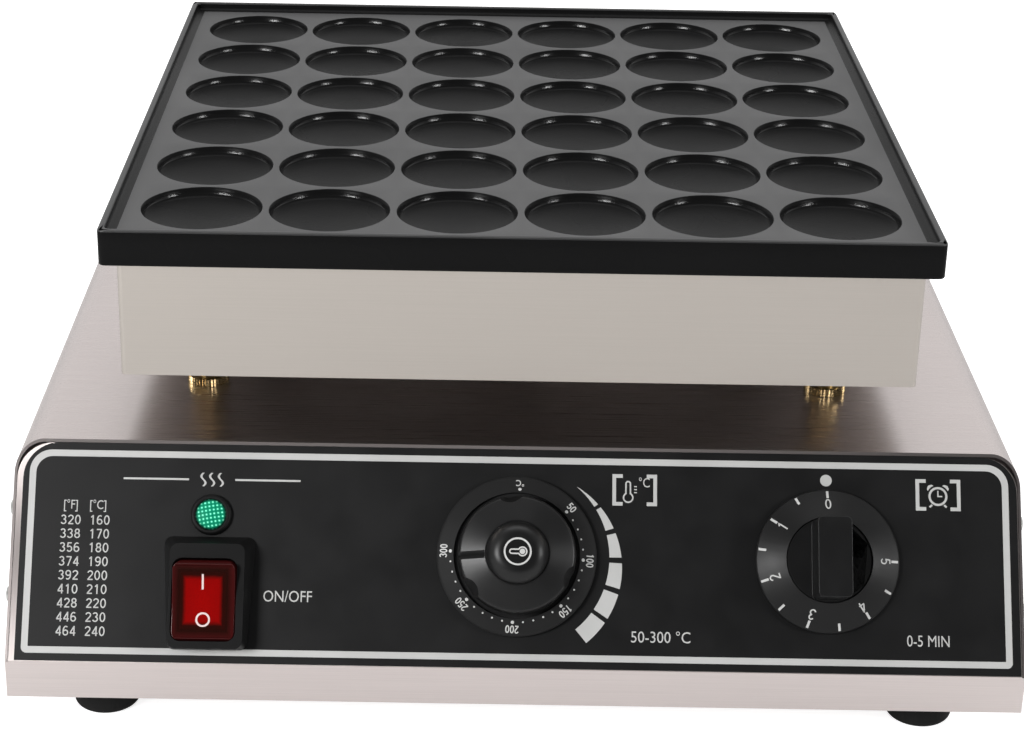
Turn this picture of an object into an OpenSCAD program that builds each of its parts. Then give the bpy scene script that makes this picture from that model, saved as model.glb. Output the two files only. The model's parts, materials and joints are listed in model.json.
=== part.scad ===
// Counter-top griddle for mini pancakes and muffins: a cast plate of round moulds on a steel heater box,
// carried by four levelling nuts on a steel base with an inclined control panel.
// Millimetres, +Z up, +X to the right of the front, -Y towards the front.
// The origin is on the table, under the middle of the outline.

/* [Baking plate] */
// Moulds along each side of the plate
mould_n = 6; // [4:1:7]
// Diameter of a mould at its mouth
mould_d = 45; // [38:0.5:52]
// Depth of a mould at its middle
mould_depth = 5.6; // [5:0.1:8]
// Rise of a mould's dished floor from its middle to its wall
mould_dish = 2.45; // [1.5:0.05:3]
// How much narrower a mould is at the foot of its wall, on each side
mould_draft = 0.5; // [0.2:0.1:1]
// Radius of the curve between a mould's wall and its floor
mould_fillet = 2; // [1:0.25:2.5]
// Metal left between two moulds
mould_land = 2.7; // [2:0.1:6]
// Flat land between the outer moulds and the rim
edge_land = 9.25; // [6:0.25:20]
// Metal left under a mould
mould_floor = 4.9; // [2:0.1:8]
// Height of the rim above the lands
rim_h = 3.3; // [2:0.1:8]
// Thickness of the rim
rim_t = 2.5; // [1.5:0.1:5]
// Corner radius of the plate
plate_corner = 2.5; // [1:0.25:6]

/* [Heater box] */
// Height of the heater box
box_h = 45.5; // [38:0.5:70]
// How far the plate overhangs the heater box on each side
plate_overhang = 5.75; // [3:0.25:12]
// Width of the flange that the plate sits on
box_flange = 14; // [10:0.5:18]
// Corner radius of the heater box
box_corner = 2; // [1:0.25:4]
// Diameter of a heating element
element_d = 8; // [6:0.5:10]
// Length of the straight legs of a heating element
element_l = 195; // [150:1:205]
// Thickness of the insulation pad
pad_t = 16; // [8:0.5:18]
// Width of an element clamp bar
clamp_w = 18; // [14:0.5:22]
// Thickness of an element clamp bar
clamp_t = 3; // [2:0.25:4]

/* [Levelling nuts] */
// Air gap between the heater box and the base
stand_gap = 19.5; // [15:0.5:30]
// Diameter of the knurled flange
nut_flange_d = 16; // [13:0.5:20]
// Thickness of the knurled flange
nut_flange_h = 3; // [2:0.25:5]
// Diameter of the nut above its flange
nut_d = 11; // [9.5:0.25:13]
// Diameter of the leg bolts
leg_d = 6; // [5:0.5:7]
// Distance of the leg bolts from the sides of the heater box
leg_inset_x = 27.75; // [22:0.25:50]
// Distance of the leg bolts from the front and rear of the heater box
leg_inset_y = 39.75; // [22:0.25:60]

/* [Base] */
// How far the base reaches past the plate on the left and right
side_ledge = 31.5; // [15:0.5:60]
// How far the flat top of the base reaches past the plate at the front and rear
end_ledge = 9.5; // [4:0.5:30]
// Height of the base from its underside to its top
base_h = 82.5; // [76:0.5:100]
// Lean of the front panel back from upright, in degrees
panel_lean = 34; // [24:1:40]
// Height of the upright strip under the front panel
strip_h = 15; // [10:0.5:18]
// Thickness of the steel sheet
sheet_t = 1; // [0.8:0.1:1.5]
// Outer radius of the bends along the sides of the top
bend_r = 10.5; // [8:0.5:16]
// Depth of the folded edges that the panels are screwed by
fold_w = 14; // [11:0.5:18]
// Height of the feet under the base
foot_h = 16; // [10:0.5:25]
// Diameter of a foot at its top
foot_d = 26; // [23.5:0.5:32]
// Diameter of a foot where it meets the table
foot_tip_d = 24.6; // [19:0.2:25.4]
// Distance of the feet from the sides of the base
foot_inset_x = 32.5; // [20:0.5:60]
// Distance of the feet from the front strip and the rear panel
foot_inset_y = 25.5; // [18:0.5:60]

/* [Control panel] */
// Thickness of the printed film on the front panel
overlay_t = 0.4; // [0.2:0.1:0.8]
// Bare steel beside the film, the mean of both sides
overlay_margin = 2.5; // [2:0.25:8]
// Distance of the film's middle to the right of the panel's middle
overlay_aside = 0.9; // [0:0.1:1]
// Bare steel above the film
overlay_edge = 1.4; // [0.8:0.1:3]
// Bare steel below the film
overlay_foot = 0.3; // [0.2:0.1:2]
// Radius of the upper corners of the film
overlay_r = 13; // [8:0.5:16]
// Distance of the lamp and the switch from the middle of the panel
control_x = 112; // [98:1:120]
// Distance of the timer from the middle of the panel
timer_x = 113.4; // [98:0.2:122]

/* [Power switch and lamp] */
// Width of the switch frame at its face
frame_w = 27; // [26.5:0.1:32]
// Length of the switch frame at its face
frame_l = 37.9; // [37:0.1:42]
// Height of the switch frame above the film
frame_h = 8; // [7:0.25:10]
// How far the foot of the frame flares out at its upper end
frame_flare = 3.1; // [2.4:0.1:4]
// How far the foot of the frame flares out beside its lower end
frame_flare_low = 1.2; // [0.8:0.1:2.4]
// Height of the switch on the panel, from the middle of the panel
switch_up = -16.75; // [-17:0.25:-14]
// Width of the rocker
rocker_w = 22.7; // [20:0.1:23.2]
// Length of the face of the rocker
rocker_l = 26.9; // [24:0.1:28]
// Drop of the rocker's middle below the middle of the frame
rocker_drop = 1.35; // [0:0.05:1.8]
// Distance of the rocker's middle to the left of the middle of the frame
rocker_aside = 0.9; // [0:0.1:1.2]
// Tilt of the rocker each way from level, in degrees
rocker_tilt = 8; // [5:0.5:9]
// Diameter of the lamp's bezel
lamp_d = 15; // [13:0.2:17]
// Diameter of the lamp's lens
lamp_lens_d = 11.3; // [10:0.1:12]
// Gap between the lamp's bezel and the switch frame below it
lamp_gap = 0.6; // [0.5:0.1:5]

/* [Temperature knob] */
// Diameter of the numbered dial
dial_d = 58.4; // [52:0.2:64]
// Diameter of the knob's grip
grip_d = 43; // [38:0.2:46]
// Height of the knob above the film
knob_h = 20.5; // [18:0.5:26]
// Diameter of the domed cap
cap_d = 22.4; // [18:0.2:26]
// Number of finger scallops round the grip
scallop_n = 3; // [3:1:10]
// Depth of the finger scallops
scallop_depth = 2.2; // [0.6:0.1:2.6]
// Width of the open ring between the grip and the dial
moat_gap = 1.4; // [0.8:0.1:2.4]

/* [Timer knob] */
// Diameter of the timer's skirt
timer_d = 52.6; // [46:0.2:58]
// Diameter of the drum inside the skirt
timer_drum_d = 31; // [29.5:0.2:36]
// Height of the timer knob above the film
timer_h = 21.5; // [16:0.5:24]
// Width of the timer's bar grip
timer_bar_w = 12.4; // [9:0.2:15]
// Length of the timer's bar grip
timer_bar_l = 28.8; // [22:0.2:29]

/* [Fits] */
// Gap between a knob and the film under it
knob_gap = 0.8; // [0.5:0.1:1]
// Radial clearance of a turning shaft or nut
turn_fit = 0.05; // [0.02:0.01:0.09]
// Radial clearance of a screw in its hole
screw_fit = 0.1; // [0.05:0.05:0.3]
// Gap between a sheet metal panel and the shell around it
panel_gap = 0.2; // [0.1:0.05:0.4]
// Gap between pieces that are clamped or set beside each other
seat_gap = 0.1; // [0.05:0.05:0.2]
// Gap all round the rocker
rocker_gap = 0.4; // [0.3:0.05:0.6]

/* [Hidden] */
$fn = 64;
over = 1;  // how far a cut runs past the face it opens

// Sizes of the plate, box and base that follow from the moulds
pitch = mould_d + mould_land;
plate_t = mould_depth + mould_floor;
plate_w = (mould_n - 1) * pitch + mould_d + 2 * (edge_land + rim_t);
box_w = plate_w - 2 * plate_overhang;
base_w = plate_w + 2 * side_ledge;
top_d = plate_w + 2 * end_ledge;

// Levels above the table
top_z = foot_h + base_h;
box_z = top_z + stand_gap;
plate_z = box_z + box_h;
land_z = plate_z + plate_t;
strip_z = foot_h + strip_h;

// Front panel: its slope and the middle of its face
panel_drop = top_z - strip_z;
panel_run = panel_drop * tan(panel_lean);
panel_slant = panel_drop / cos(panel_lean);

// Cord gland on the rear panel
gland_x = 120;
gland_rise = 30;
gland_z = foot_h + gland_rise;
gland_out = 12;
gland_d = 20;
gland_bore_d = 7.4;
gland_thread_d = 15;

// The plate is placed so that the outline is centred on the origin, front to back
timer_reach = panel_run / 2 + (overlay_t + timer_h) * cos(panel_lean) + timer_bar_l / 2 * sin(panel_lean);
frame_reach = panel_run / 2 + (overlay_t + frame_h) * cos(panel_lean)
    + (frame_l / 2 - switch_up) * sin(panel_lean);
front_reach = top_d / 2 + max(panel_run, timer_reach, frame_reach);
rear_reach = top_d / 2 + gland_out;
plate_y = (front_reach - rear_reach) / 2;
top_front_y = plate_y - top_d / 2;
rear_y = plate_y + top_d / 2;
strip_y = top_front_y - panel_run;
panel_mid = [0, (top_front_y + strip_y) / 2, (top_z + strip_z) / 2];

// Sheet metal panels inside the shell
inner_w = base_w - 2 * sheet_t;
panel_w = inner_w - 2 * panel_gap;
panel_corner = bend_r + 2.2;
panel_top = panel_slant / 2 - (sheet_t + panel_gap) / cos(panel_lean);
tray_front_y = strip_y + sheet_t + panel_gap;
tray_rear_y = rear_y - sheet_t - panel_gap;
fold_top_z = foot_h + fold_w;

// Feet: the rounded lower edge, the straight band at the top and the rubber above the screw head
foot_round = 2.5;
foot_land = 1;
foot_web = 5;
foot_screw_tail = 4;

// Film on the front panel
overlay_w = base_w - 2 * overlay_margin;
overlay_top = panel_slant / 2 - overlay_edge;
overlay_l = panel_slant - overlay_edge - overlay_foot;

// Screws and bolts
screw_d = 4;
screw_head_d = 7;
screw_head_h = 1.6;
bolt_d = 5;
bolt_head_d = 9;
bolt_head_h = 3.2;
leg_head_d = 11;
leg_head_h = 4;
leg_nut_h = 5;
leg_tail = 9;
tray_screw_inset = 60;
rear_screw_rise = 34;
rear_screw_drop = 22;
panel_screw_up = 16;
blind_skin = 3.5;
blind_depth = plate_t - blind_skin;
leg_x = box_w / 2 - leg_inset_x;
leg_y = box_w / 2 - leg_inset_y;

// Inside the heater box
element_z = plate_z - element_d / 2 - seat_gap;
element_front_y = plate_y - element_l / 2 + pitch / 4;
element_pin_d = 4;
element_pin_l = 14;
clamp_z = element_z - element_d / 2 - seat_gap - clamp_t;
clamp_l = (mould_n - 2) * pitch + 2 * clamp_w + pitch / 2;
pad_z = box_z + sheet_t;
pad_inset = 8;
bulb_d = 6;
bulb_l = 80;
bulb_z = plate_z - bulb_d / 2 - seat_gap;
clip_w = 10;
clip_t = 1;
clip_reach = 12;
clip_screw_d = 3;

// Conduit for the wires between the heater box and the base
conduit_back = 70;
conduit_y = plate_y + conduit_back;
conduit_d = 22;
conduit_bore_d = 18;
conduit_flange_d = 32;
conduit_flange_h = 2;
conduit_tail = 14;
conduit_nut_h = 6;

// Switch: its window, its pivot and the curved ends of the rocker
pivot_out = 4.4;
pivot_d = 2.5;
pivot_l = 1;
rocker_top = overlay_t + frame_h + 1.6 - pivot_out;
rocker_end_r = sqrt(pow(rocker_l / 2, 2) + pow(rocker_top, 2));
rocker_dish_r = 70;
rocker_foot = 3.2;
window_w = rocker_w + 2 * rocker_gap;
window_l = 2 * (rocker_end_r + rocker_gap);
rocker_corner = 3.6;
frame_corner = 3;
frame_lip = 0.6;
neck_t = 1.2;
neck_l = 11;
cutout_w = window_w + 2 * (neck_t + panel_gap);
cutout_l = window_l + 2 * (neck_t + panel_gap);
switch_mid = switch_up - rocker_drop;
rocker_x = control_x + rocker_aside;
switch_depth = 18;
switch_top = -7;
blade_w = 6.3;
blade_t = 0.8;
blade_l = 8;

// Lamp
lamp_up = switch_up + frame_l / 2 + frame_flare + lamp_gap + lamp_d / 2;
lamp_barrel_d = 9.6;
lamp_flange_h = 2;
lamp_depth = 18;
lamp_nut_d = 15;
lamp_nut_h = 3;
lens_seat = 1;
lens_proud = 1.5;

// Thermostat and timer behind the panel
shaft_d = 6;
shaft_hole_d = 9;
shaft_depth = 15;
knob_screw_x = 14;
thermostat_w = 40;
thermostat_h = 34;
thermostat_depth = 28;
timer_box = 46;
timer_depth = 26;
knob_web = 2.6;
knob_hollow = 2.2;
dial_lip = 4.7;
grip_foot = knob_hollow + knob_web + seat_gap;
grip_shoulder = 12.4;
cap_seat = 7.5;
cap_edge = 5;
cap_round = 4.5;
grip_undercut = 1.6;
moat_floor = 1;
scallop_r = 8;
scallop_turn = 97;
pointer_w = 2.6;
pointer_depth = 1.4;
pointer_turn = 3;
timer_web = 7;

// Vents, terminals and wiring in the base
vent_n = 9;
vent_w = 4;
vent_l = 28;
vent_step = 10;
vent_x = 60;
vent_drop = 34;
block_x = 80;
block_inset = 60;
block_y = rear_y - block_inset;
block_w = 44;
block_d = 22;
block_h = 18;
block_way_n = 3;
earth_gap = 30;
earth_x = gland_x + earth_gap;
wire_d = 3;
wire_end = 5;
wire_apart = 5;
lead_step = 10;
capillary_d = 2;
wire_sides = 8;
wire_steps = 4;

leg_spots = [for (side_y = [-1, 1], side_x = [-1, 1]) [side_x * leg_x, plate_y + side_y * leg_y]];
foot_spots = [for (y = [strip_y + foot_inset_y, rear_y - foot_inset_y], side = [-1, 1])
    [side * (base_w / 2 - foot_inset_x), y]];
clamp_ys = [plate_y - pitch, plate_y + pitch];
element_xs = [-2 * pitch, 0, 2 * pitch];
flange_mid = box_w / 2 - sheet_t - screw_head_d / 2 - 0.5;
plate_screw_spots = [for (side = [-1, 1], end = [-1, 1], swap = [0, 1])
    swap == 0 ? [side * flange_mid, end * 2 * pitch] : [end * 2 * pitch, side * flange_mid]];
tray_screw_ys = [strip_y + tray_screw_inset, plate_y, rear_y - tray_screw_inset];
rear_screw_zs = [foot_h + rear_screw_rise, top_z - rear_screw_drop];
panel_screw_ups = [-panel_screw_up, panel_screw_up];

// Shared shapes

// A rectangle with four rounded corners, centred
module rounded_rect(w, d, r) {
    square([w, d - 2 * r], center = true);
    square([w - 2 * r, d], center = true);
    for (x = [-1, 1], y = [-1, 1])
        translate([x * (w / 2 - r), y * (d / 2 - r)]) circle(r);
}

// A rectangle with rounded upper corners that stands on the x axis
module arch(w, h, r) {
    translate([-w / 2, 0]) square([w, h - r]);
    translate([-w / 2 + r, 0]) square([w - 2 * r, h]);
    for (side = [-1, 1])
        translate([side * (w / 2 - r), h - r]) circle(r);
}

// A slot with round ends, upright and centred
module slot(w, l) {
    square([w, l - w], center = true);
    for (end = [-1, 1])
        translate([0, end * (l - w) / 2]) circle(w / 2);
}

module ring(outer_d, inner_d, h) {
    difference() {
        cylinder(d = outer_d, h = h);
        translate([0, 0, -over]) cylinder(d = inner_d, h = h + 2 * over);
    }
}

// A pan head screw: the head stands on the xy plane and the shank goes down
module pan_screw(d, l, head_d, head_h) {
    cylinder(d1 = head_d, d2 = head_d * 0.72, h = head_h);
    translate([0, 0, -l]) cylinder(d = d, h = l + head_h / 2);
}

// A hexagon head bolt: the head hangs below the xy plane and the shank goes up
module hex_bolt(d, l, head_d, head_h) {
    translate([0, 0, -head_h]) cylinder(d = head_d, h = head_h, $fn = 6);
    translate([0, 0, -head_h / 2]) cylinder(d = d, h = l + head_h / 2);
}

module hex_nut(across, bore_d, h) {
    difference() {
        cylinder(d = across, h = h, $fn = 6);
        translate([0, 0, -over]) cylinder(d = bore_d, h = h + 2 * over);
    }
}

// A disc with a row of small teeth round its edge
module knurled_disc(d, teeth, depth, h) {
    linear_extrude(h)
        polygon([for (i = [0 : 2 * teeth - 1])
            let (r = d / 2 - (i % 2) * depth, a = i * 180 / teeth) [r * cos(a), r * sin(a)]]);
}

// Places its children on the face of the front panel: x across, y up the slope, z out of the panel
module on_panel(x = 0, up = 0, out = 0) {
    translate(panel_mid) rotate([90 - panel_lean, 0, 0]) translate([x, up, out]) children();
}

// The same place as a point
function panel_point(x, up, out) = panel_mid + [x, up * sin(panel_lean) - out * cos(panel_lean),
    up * cos(panel_lean) + out * sin(panel_lean)];

// Lays a profile drawn in the YZ plane across the width of the base
module across(w) {
    rotate([90, 0, 90]) linear_extrude(w, center = true) children();
}

// A side screw through the shell, its head on the outside
module side_screw(side) {
    rotate([0, side * 90, 0]) translate([0, 0, base_w / 2])
        pan_screw(screw_d, fold_w / 2, screw_head_d, screw_head_h);
}

module side_hole() {
    rotate([0, 90, 0]) cylinder(d = screw_d + 2 * screw_fit, h = base_w + 2 * over, center = true);
}

// Places its children on the axis of every screw through the sides
module side_spots() {
    for (y = tray_screw_ys) translate([0, y, foot_h + fold_w / 2]) children();
    for (z = rear_screw_zs) translate([0, rear_y - fold_w / 2, z]) children();
    for (up = panel_screw_ups) translate(panel_point(0, up, -fold_w / 2)) children();
}

// Wires: a smooth path through hand chosen points, swept as one closed tube
function unit(v) = v / norm(v);
function path_at(p, i) = p[max(0, min(len(p) - 1, i))];
function spline(a, b, c, d, t) =
    (2 * b + (c - a) * t + (2 * a - 5 * b + 4 * c - d) * t * t + (3 * b - a - 3 * c + d) * t * t * t) / 2;
function smooth_path(p) = concat([for (i = [0 : len(p) - 2], s = [0 : wire_steps - 1])
    spline(path_at(p, i - 1), p[i], p[i + 1], path_at(p, i + 2), s / wire_steps)], [p[len(p) - 1]]);

module wire(points, d) {
    path = smooth_path(points);
    last = len(path) - 1;
    aside = [1, 0.35, 0.2];
    rings = [for (i = [0 : last])
        let (t = unit(path_at(path, i + 1) - path_at(path, i - 1)), u = unit(cross(t, aside)), v = cross(t, u))
        for (k = [0 : wire_sides - 1])
            path[i] + d / 2 * (u * cos(k * 360 / wire_sides) + v * sin(k * 360 / wire_sides))];
    walls = [for (i = [0 : last - 1], k = [0 : wire_sides - 1])
        let (a = i * wire_sides + k, b = i * wire_sides + (k + 1) % wire_sides)
        for (face = [[a, b, b + wire_sides], [a, b + wire_sides, a + wire_sides]]) face];
    start = [[for (k = [wire_sides - 1 : -1 : 0]) k]];
    end = [[for (k = [0 : wire_sides - 1]) last * wire_sides + k]];
    polyhedron(rings, [for (face = concat(walls, start, end)) [for (k = [len(face) - 1 : -1 : 0]) face[k]]]);
}

// Baking plate

// The hollow of one mould: a drafted wall, a curved corner and a dished floor
module mould_hollow() {
    foot_r = mould_d / 2 - mould_draft;
    dish_r = (pow(foot_r, 2) + pow(mould_dish, 2)) / (2 * mould_dish);
    dish_z = dish_r - mould_depth;
    curve_x = foot_r - mould_fillet;
    curve_z = dish_z - sqrt(pow(dish_r - mould_fillet, 2) - pow(curve_x, 2));
    floor_x = curve_x * dish_r / (dish_r - mould_fillet);
    rotate_extrude() {
        polygon([[0, over], [mould_d / 2, over], [mould_d / 2, 0], [foot_r, curve_z], [0, curve_z]]);
        intersection() {
            translate([curve_x, curve_z]) circle(mould_fillet);
            translate([0, -mould_depth]) square([foot_r, mould_depth + curve_z]);
        }
        intersection() {
            translate([0, dish_z]) circle(dish_r, $fn = 360);
            translate([0, -mould_depth]) square([floor_x, mould_depth + curve_z]);
        }
    }
}

module baking_plate() {
    color("#2a2a2b") difference() {
        translate([0, plate_y, plate_z])
            linear_extrude(plate_t + rim_h) rounded_rect(plate_w, plate_w, plate_corner);
        translate([0, plate_y, land_z])
            linear_extrude(rim_h + over) rounded_rect(plate_w - 2 * rim_t, plate_w - 2 * rim_t, plate_corner);
        for (i = [0 : mould_n - 1], j = [0 : mould_n - 1])
            translate([(i - (mould_n - 1) / 2) * pitch, plate_y + (j - (mould_n - 1) / 2) * pitch, land_z])
                mould_hollow();
        for (x = element_xs, y = clamp_ys)
            translate([x, y, plate_z - over])
                cylinder(d = bolt_d + 2 * screw_fit, h = blind_depth + over);
        for (spot = plate_screw_spots)
            translate([spot[0], plate_y + spot[1], plate_z - over])
                cylinder(d = screw_d + 2 * screw_fit, h = blind_depth + over);
        for (side = [-1, 1])
            translate([pitch + side * clip_reach, plate_y, plate_z - over])
                cylinder(d = clip_screw_d + 2 * screw_fit, h = blind_depth + over);
    }
}

module plate_screws() {
    color("#b9b9b6") for (spot = plate_screw_spots)
        translate([spot[0], plate_y + spot[1], plate_z - sheet_t]) mirror([0, 0, 1])
            pan_screw(screw_d, sheet_t + blind_depth - 1, screw_head_d, screw_head_h);
}

// Heater box and what it holds

module heater_box() {
    inside = box_w - 2 * sheet_t;
    color("#b8b0a8") difference() {
        translate([0, plate_y, box_z]) linear_extrude(box_h) rounded_rect(box_w, box_w, box_corner);
        translate([0, plate_y, box_z + sheet_t])
            linear_extrude(box_h - 2 * sheet_t) rounded_rect(inside, inside, box_corner / 2);
        translate([0, plate_y, plate_z - 2 * sheet_t])
            linear_extrude(2 * sheet_t + over)
                rounded_rect(box_w - 2 * box_flange, box_w - 2 * box_flange, box_corner);
        for (spot = leg_spots)
            translate([spot[0], spot[1], box_z - over])
                cylinder(d = leg_d + 2 * screw_fit, h = sheet_t + 2 * over);
        translate([0, conduit_y, box_z - over])
            cylinder(d = conduit_d + 2 * seat_gap, h = sheet_t + 2 * over);
        for (spot = plate_screw_spots)
            translate([spot[0], plate_y + spot[1], plate_z - 2 * sheet_t])
                cylinder(d = screw_d + 2 * screw_fit, h = 2 * sheet_t + over);
    }
}

// A hairpin element: two legs, a half round bend at the front and two pins at the rear
module heating_element(n) {
    rear_y = element_front_y + element_l;
    color("#6d6862") translate([element_xs[n - 1], 0, element_z]) {
        for (side = [-1, 1]) translate([side * pitch / 2, 0, 0]) {
            translate([0, rear_y, 0]) rotate([90, 0, 0]) cylinder(d = element_d, h = element_l);
            translate([0, rear_y + element_pin_l, 0]) rotate([90, 0, 0])
                cylinder(d = element_pin_d, h = 2 * element_pin_l);
        }
        translate([0, element_front_y, 0])
            rotate_extrude(angle = 180, start = 180) translate([pitch / 2, 0]) circle(d = element_d);
    }
}

module element_clamp(y) {
    color("#8f8f8c") difference() {
        translate([0, y, clamp_z]) linear_extrude(clamp_t) rounded_rect(clamp_l, clamp_w, clamp_w / 4);
        for (x = element_xs)
            translate([x, y, clamp_z - over])
                cylinder(d = bolt_d + 2 * screw_fit, h = clamp_t + 2 * over);
    }
}

module clamp_bolts() {
    color("#a8a8a4") for (x = element_xs, y = clamp_ys)
        translate([x, y, clamp_z])
            hex_bolt(bolt_d, plate_z - clamp_z + blind_depth - 1, bolt_head_d, bolt_head_h);
}

module insulation_pad() {
    pad_w = box_w - 2 * (sheet_t + pad_inset);
    color("#d9d4c4") difference() {
        translate([0, plate_y, pad_z]) linear_extrude(pad_t) rounded_rect(pad_w, pad_w, pad_inset / 2);
        for (spot = leg_spots)
            translate([spot[0], spot[1], pad_z - over]) cylinder(d = leg_head_d + 2, h = pad_t + 2 * over);
        translate([0, conduit_y, pad_z - over])
            cylinder(d = conduit_flange_d + 2, h = pad_t + 2 * over);
    }
}

module thermostat_bulb() {
    color("#b9774a") translate([pitch, plate_y + bulb_l / 2, bulb_z]) rotate([90, 0, 0])
        cylinder(d = bulb_d, h = bulb_l);
}

// A strap under the bulb with a foot screwed to the plate on each side
module bulb_clip() {
    strap_r = bulb_d / 2 + seat_gap + clip_t;
    color("#8f8f8c") translate([pitch, plate_y, 0]) difference() {
        translate([0, clip_w / 2, 0]) rotate([90, 0, 0]) linear_extrude(clip_w) difference() {
            union() {
                translate([-clip_reach - clip_screw_d, plate_z - seat_gap - clip_t])
                    square([2 * (clip_reach + clip_screw_d), clip_t]);
                translate([-strap_r, bulb_z]) square([2 * strap_r, plate_z - seat_gap - bulb_z]);
                translate([0, bulb_z]) circle(strap_r);
            }
            translate([0, bulb_z]) circle(strap_r - clip_t);
            translate([-strap_r + clip_t, bulb_z]) square([2 * (strap_r - clip_t), bulb_d]);
        }
        for (side = [-1, 1])
            translate([side * clip_reach, 0, plate_z - clip_t - over])
                cylinder(d = clip_screw_d + 2 * screw_fit, h = clip_t + 2 * over);
    }
}

module clip_screws() {
    color("#a8a8a4") for (side = [-1, 1])
        translate([pitch + side * clip_reach, plate_y, plate_z - seat_gap - clip_t]) mirror([0, 0, 1])
            pan_screw(clip_screw_d, clip_t + blind_depth - 1, clip_screw_d * 1.8, clip_screw_d / 2);
}

// From the bulb over the insulation, down the front of the conduit and forward to the thermostat
module capillary_tube() {
    bulb_end = plate_y + bulb_l / 2 + seat_gap;
    tube_y = conduit_y - wire_apart;
    body_out = -sheet_t - thermostat_depth - seat_gap;
    color("#b9774a") wire([
        [pitch, bulb_end, bulb_z],
        [pitch, bulb_end + wire_end, bulb_z],
        [pitch, bulb_end + 4 * wire_end, bulb_z],
        [pitch * 0.9, conduit_y, clamp_z],
        [pitch * 0.6, conduit_y, clamp_z - 0.7 * lead_step],
        [pitch * 0.2, conduit_y - 0.3 * lead_step, clamp_z - 1.2 * lead_step],
        [0, tube_y, pad_z + pad_t - 0.5 * lead_step],
        [0, tube_y, top_z],
        [0, tube_y, top_z - conduit_tail - 0.4 * lead_step],
        [0, tube_y - 1.2 * lead_step, top_z - conduit_tail - 1.6 * lead_step],
        [0, plate_y - 6 * lead_step, top_z - 4 * lead_step],
        panel_point(0, 0, body_out - 4 * wire_end),
        panel_point(0, 0, body_out - wire_end),
        panel_point(0, 0, body_out)
    ], capillary_d);
}

// Conduit and legs between the heater box and the base

module conduit() {
    foot_z = top_z - conduit_tail;
    color("#9a9a97") translate([0, conduit_y, 0]) difference() {
        union() {
            translate([0, 0, foot_z]) cylinder(d = conduit_d, h = box_z + sheet_t - foot_z + conduit_flange_h);
            translate([0, 0, box_z + sheet_t]) cylinder(d = conduit_flange_d, h = conduit_flange_h);
        }
        translate([0, 0, foot_z - over])
            cylinder(d = conduit_bore_d, h = box_z + sheet_t - foot_z + conduit_flange_h + 2 * over);
    }
}

module conduit_nut() {
    color("#8f8f8c") translate([0, conduit_y, top_z - sheet_t - conduit_nut_h])
        hex_nut(conduit_d * 1.45, conduit_d + 2 * screw_fit, conduit_nut_h);
}

module leg_bolts() {
    color("#b9b9b6") for (spot = leg_spots)
        translate([spot[0], spot[1], box_z + sheet_t]) mirror([0, 0, 1])
            hex_bolt(leg_d, box_z + sheet_t - top_z + sheet_t + leg_tail, leg_head_d, leg_head_h);
}

module leg_lock_nuts() {
    color("#b9b9b6") for (spot = leg_spots)
        translate([spot[0], spot[1], top_z - sheet_t - leg_nut_h])
            hex_nut(leg_head_d, leg_d + 2 * screw_fit, leg_nut_h);
}

// A knurled nut: a toothed flange at the foot, a waist and a fluted barrel
module levelling_nut(n) {
    nut_h = stand_gap - 2 * seat_gap;
    waist_h = 1.2;
    color("#b8934a") translate([leg_spots[n - 1][0], leg_spots[n - 1][1], top_z + seat_gap]) difference() {
        union() {
            knurled_disc(nut_flange_d, 40, 0.45, nut_flange_h);
            translate([0, 0, nut_flange_h]) cylinder(d = nut_d - 2, h = waist_h);
            translate([0, 0, nut_flange_h + waist_h])
                knurled_disc(nut_d, 24, 0.4, nut_h - nut_flange_h - waist_h);
        }
        translate([0, 0, -over]) cylinder(d = leg_d + 2 * turn_fit, h = nut_h + 2 * over);
    }
}

// Base

module base_shell() {
    depth = rear_y - strip_y;
    slope_over = over * tan(panel_lean);
    color("#c9c1bf") difference() {
        translate([0, rear_y, foot_h]) rotate([90, 0, 0]) linear_extrude(depth) difference() {
            arch(base_w, base_h, bend_r);
            translate([0, -over]) arch(inner_w, base_h - sheet_t + over, bend_r - sheet_t);
        }
        across(base_w + 2 * over) polygon([
            [top_front_y + slope_over, top_z + over], [strip_y, strip_z], [tray_front_y, strip_z],
            [tray_front_y, foot_h - over], [strip_y - over, foot_h - over], [strip_y - over, top_z + over]]);
        for (spot = leg_spots)
            translate([spot[0], spot[1], top_z - sheet_t - over])
                cylinder(d = leg_d + 2 * screw_fit, h = sheet_t + 2 * over);
        translate([0, conduit_y, top_z - sheet_t - over])
            cylinder(d = conduit_d + 2 * seat_gap, h = sheet_t + 2 * over);
        side_spots() side_hole();
    }
}

// One sheet: the inclined face, the upright strip below it and a folded edge on each side
module front_panel() {
    mitre = sheet_t * tan(panel_lean / 2);
    lean_y = sheet_t * cos(panel_lean);
    lean_z = sheet_t * sin(panel_lean);
    fold_l = panel_slant - 2 * panel_corner;
    color("#c6bebc") difference() {
        union() {
            intersection() {
                across(panel_w) polygon([
                    [top_front_y, top_z], [strip_y, strip_z], [strip_y, foot_h], [strip_y + sheet_t, foot_h],
                    [strip_y + sheet_t, strip_z - mitre], [top_front_y + lean_y, top_z - lean_z]]);
                on_panel(0, -panel_slant - strip_h, -panel_slant) linear_extrude(2 * panel_slant)
                    arch(panel_w, panel_top + panel_slant + strip_h, panel_corner);
            }
            translate([-base_w / 2, strip_y, foot_h]) cube([base_w, sheet_t, strip_h - mitre]);
            for (side = [-1, 1])
                on_panel(side * (panel_w - sheet_t) / 2, 0, -(fold_w + sheet_t / 2) / 2)
                    cube([sheet_t, fold_l, fold_w - sheet_t / 2], center = true);
        }
        on_panel(0, 0, -over - sheet_t) control_holes(sheet_t + 2 * over);
        side_spots() side_hole();
    }
}

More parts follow.
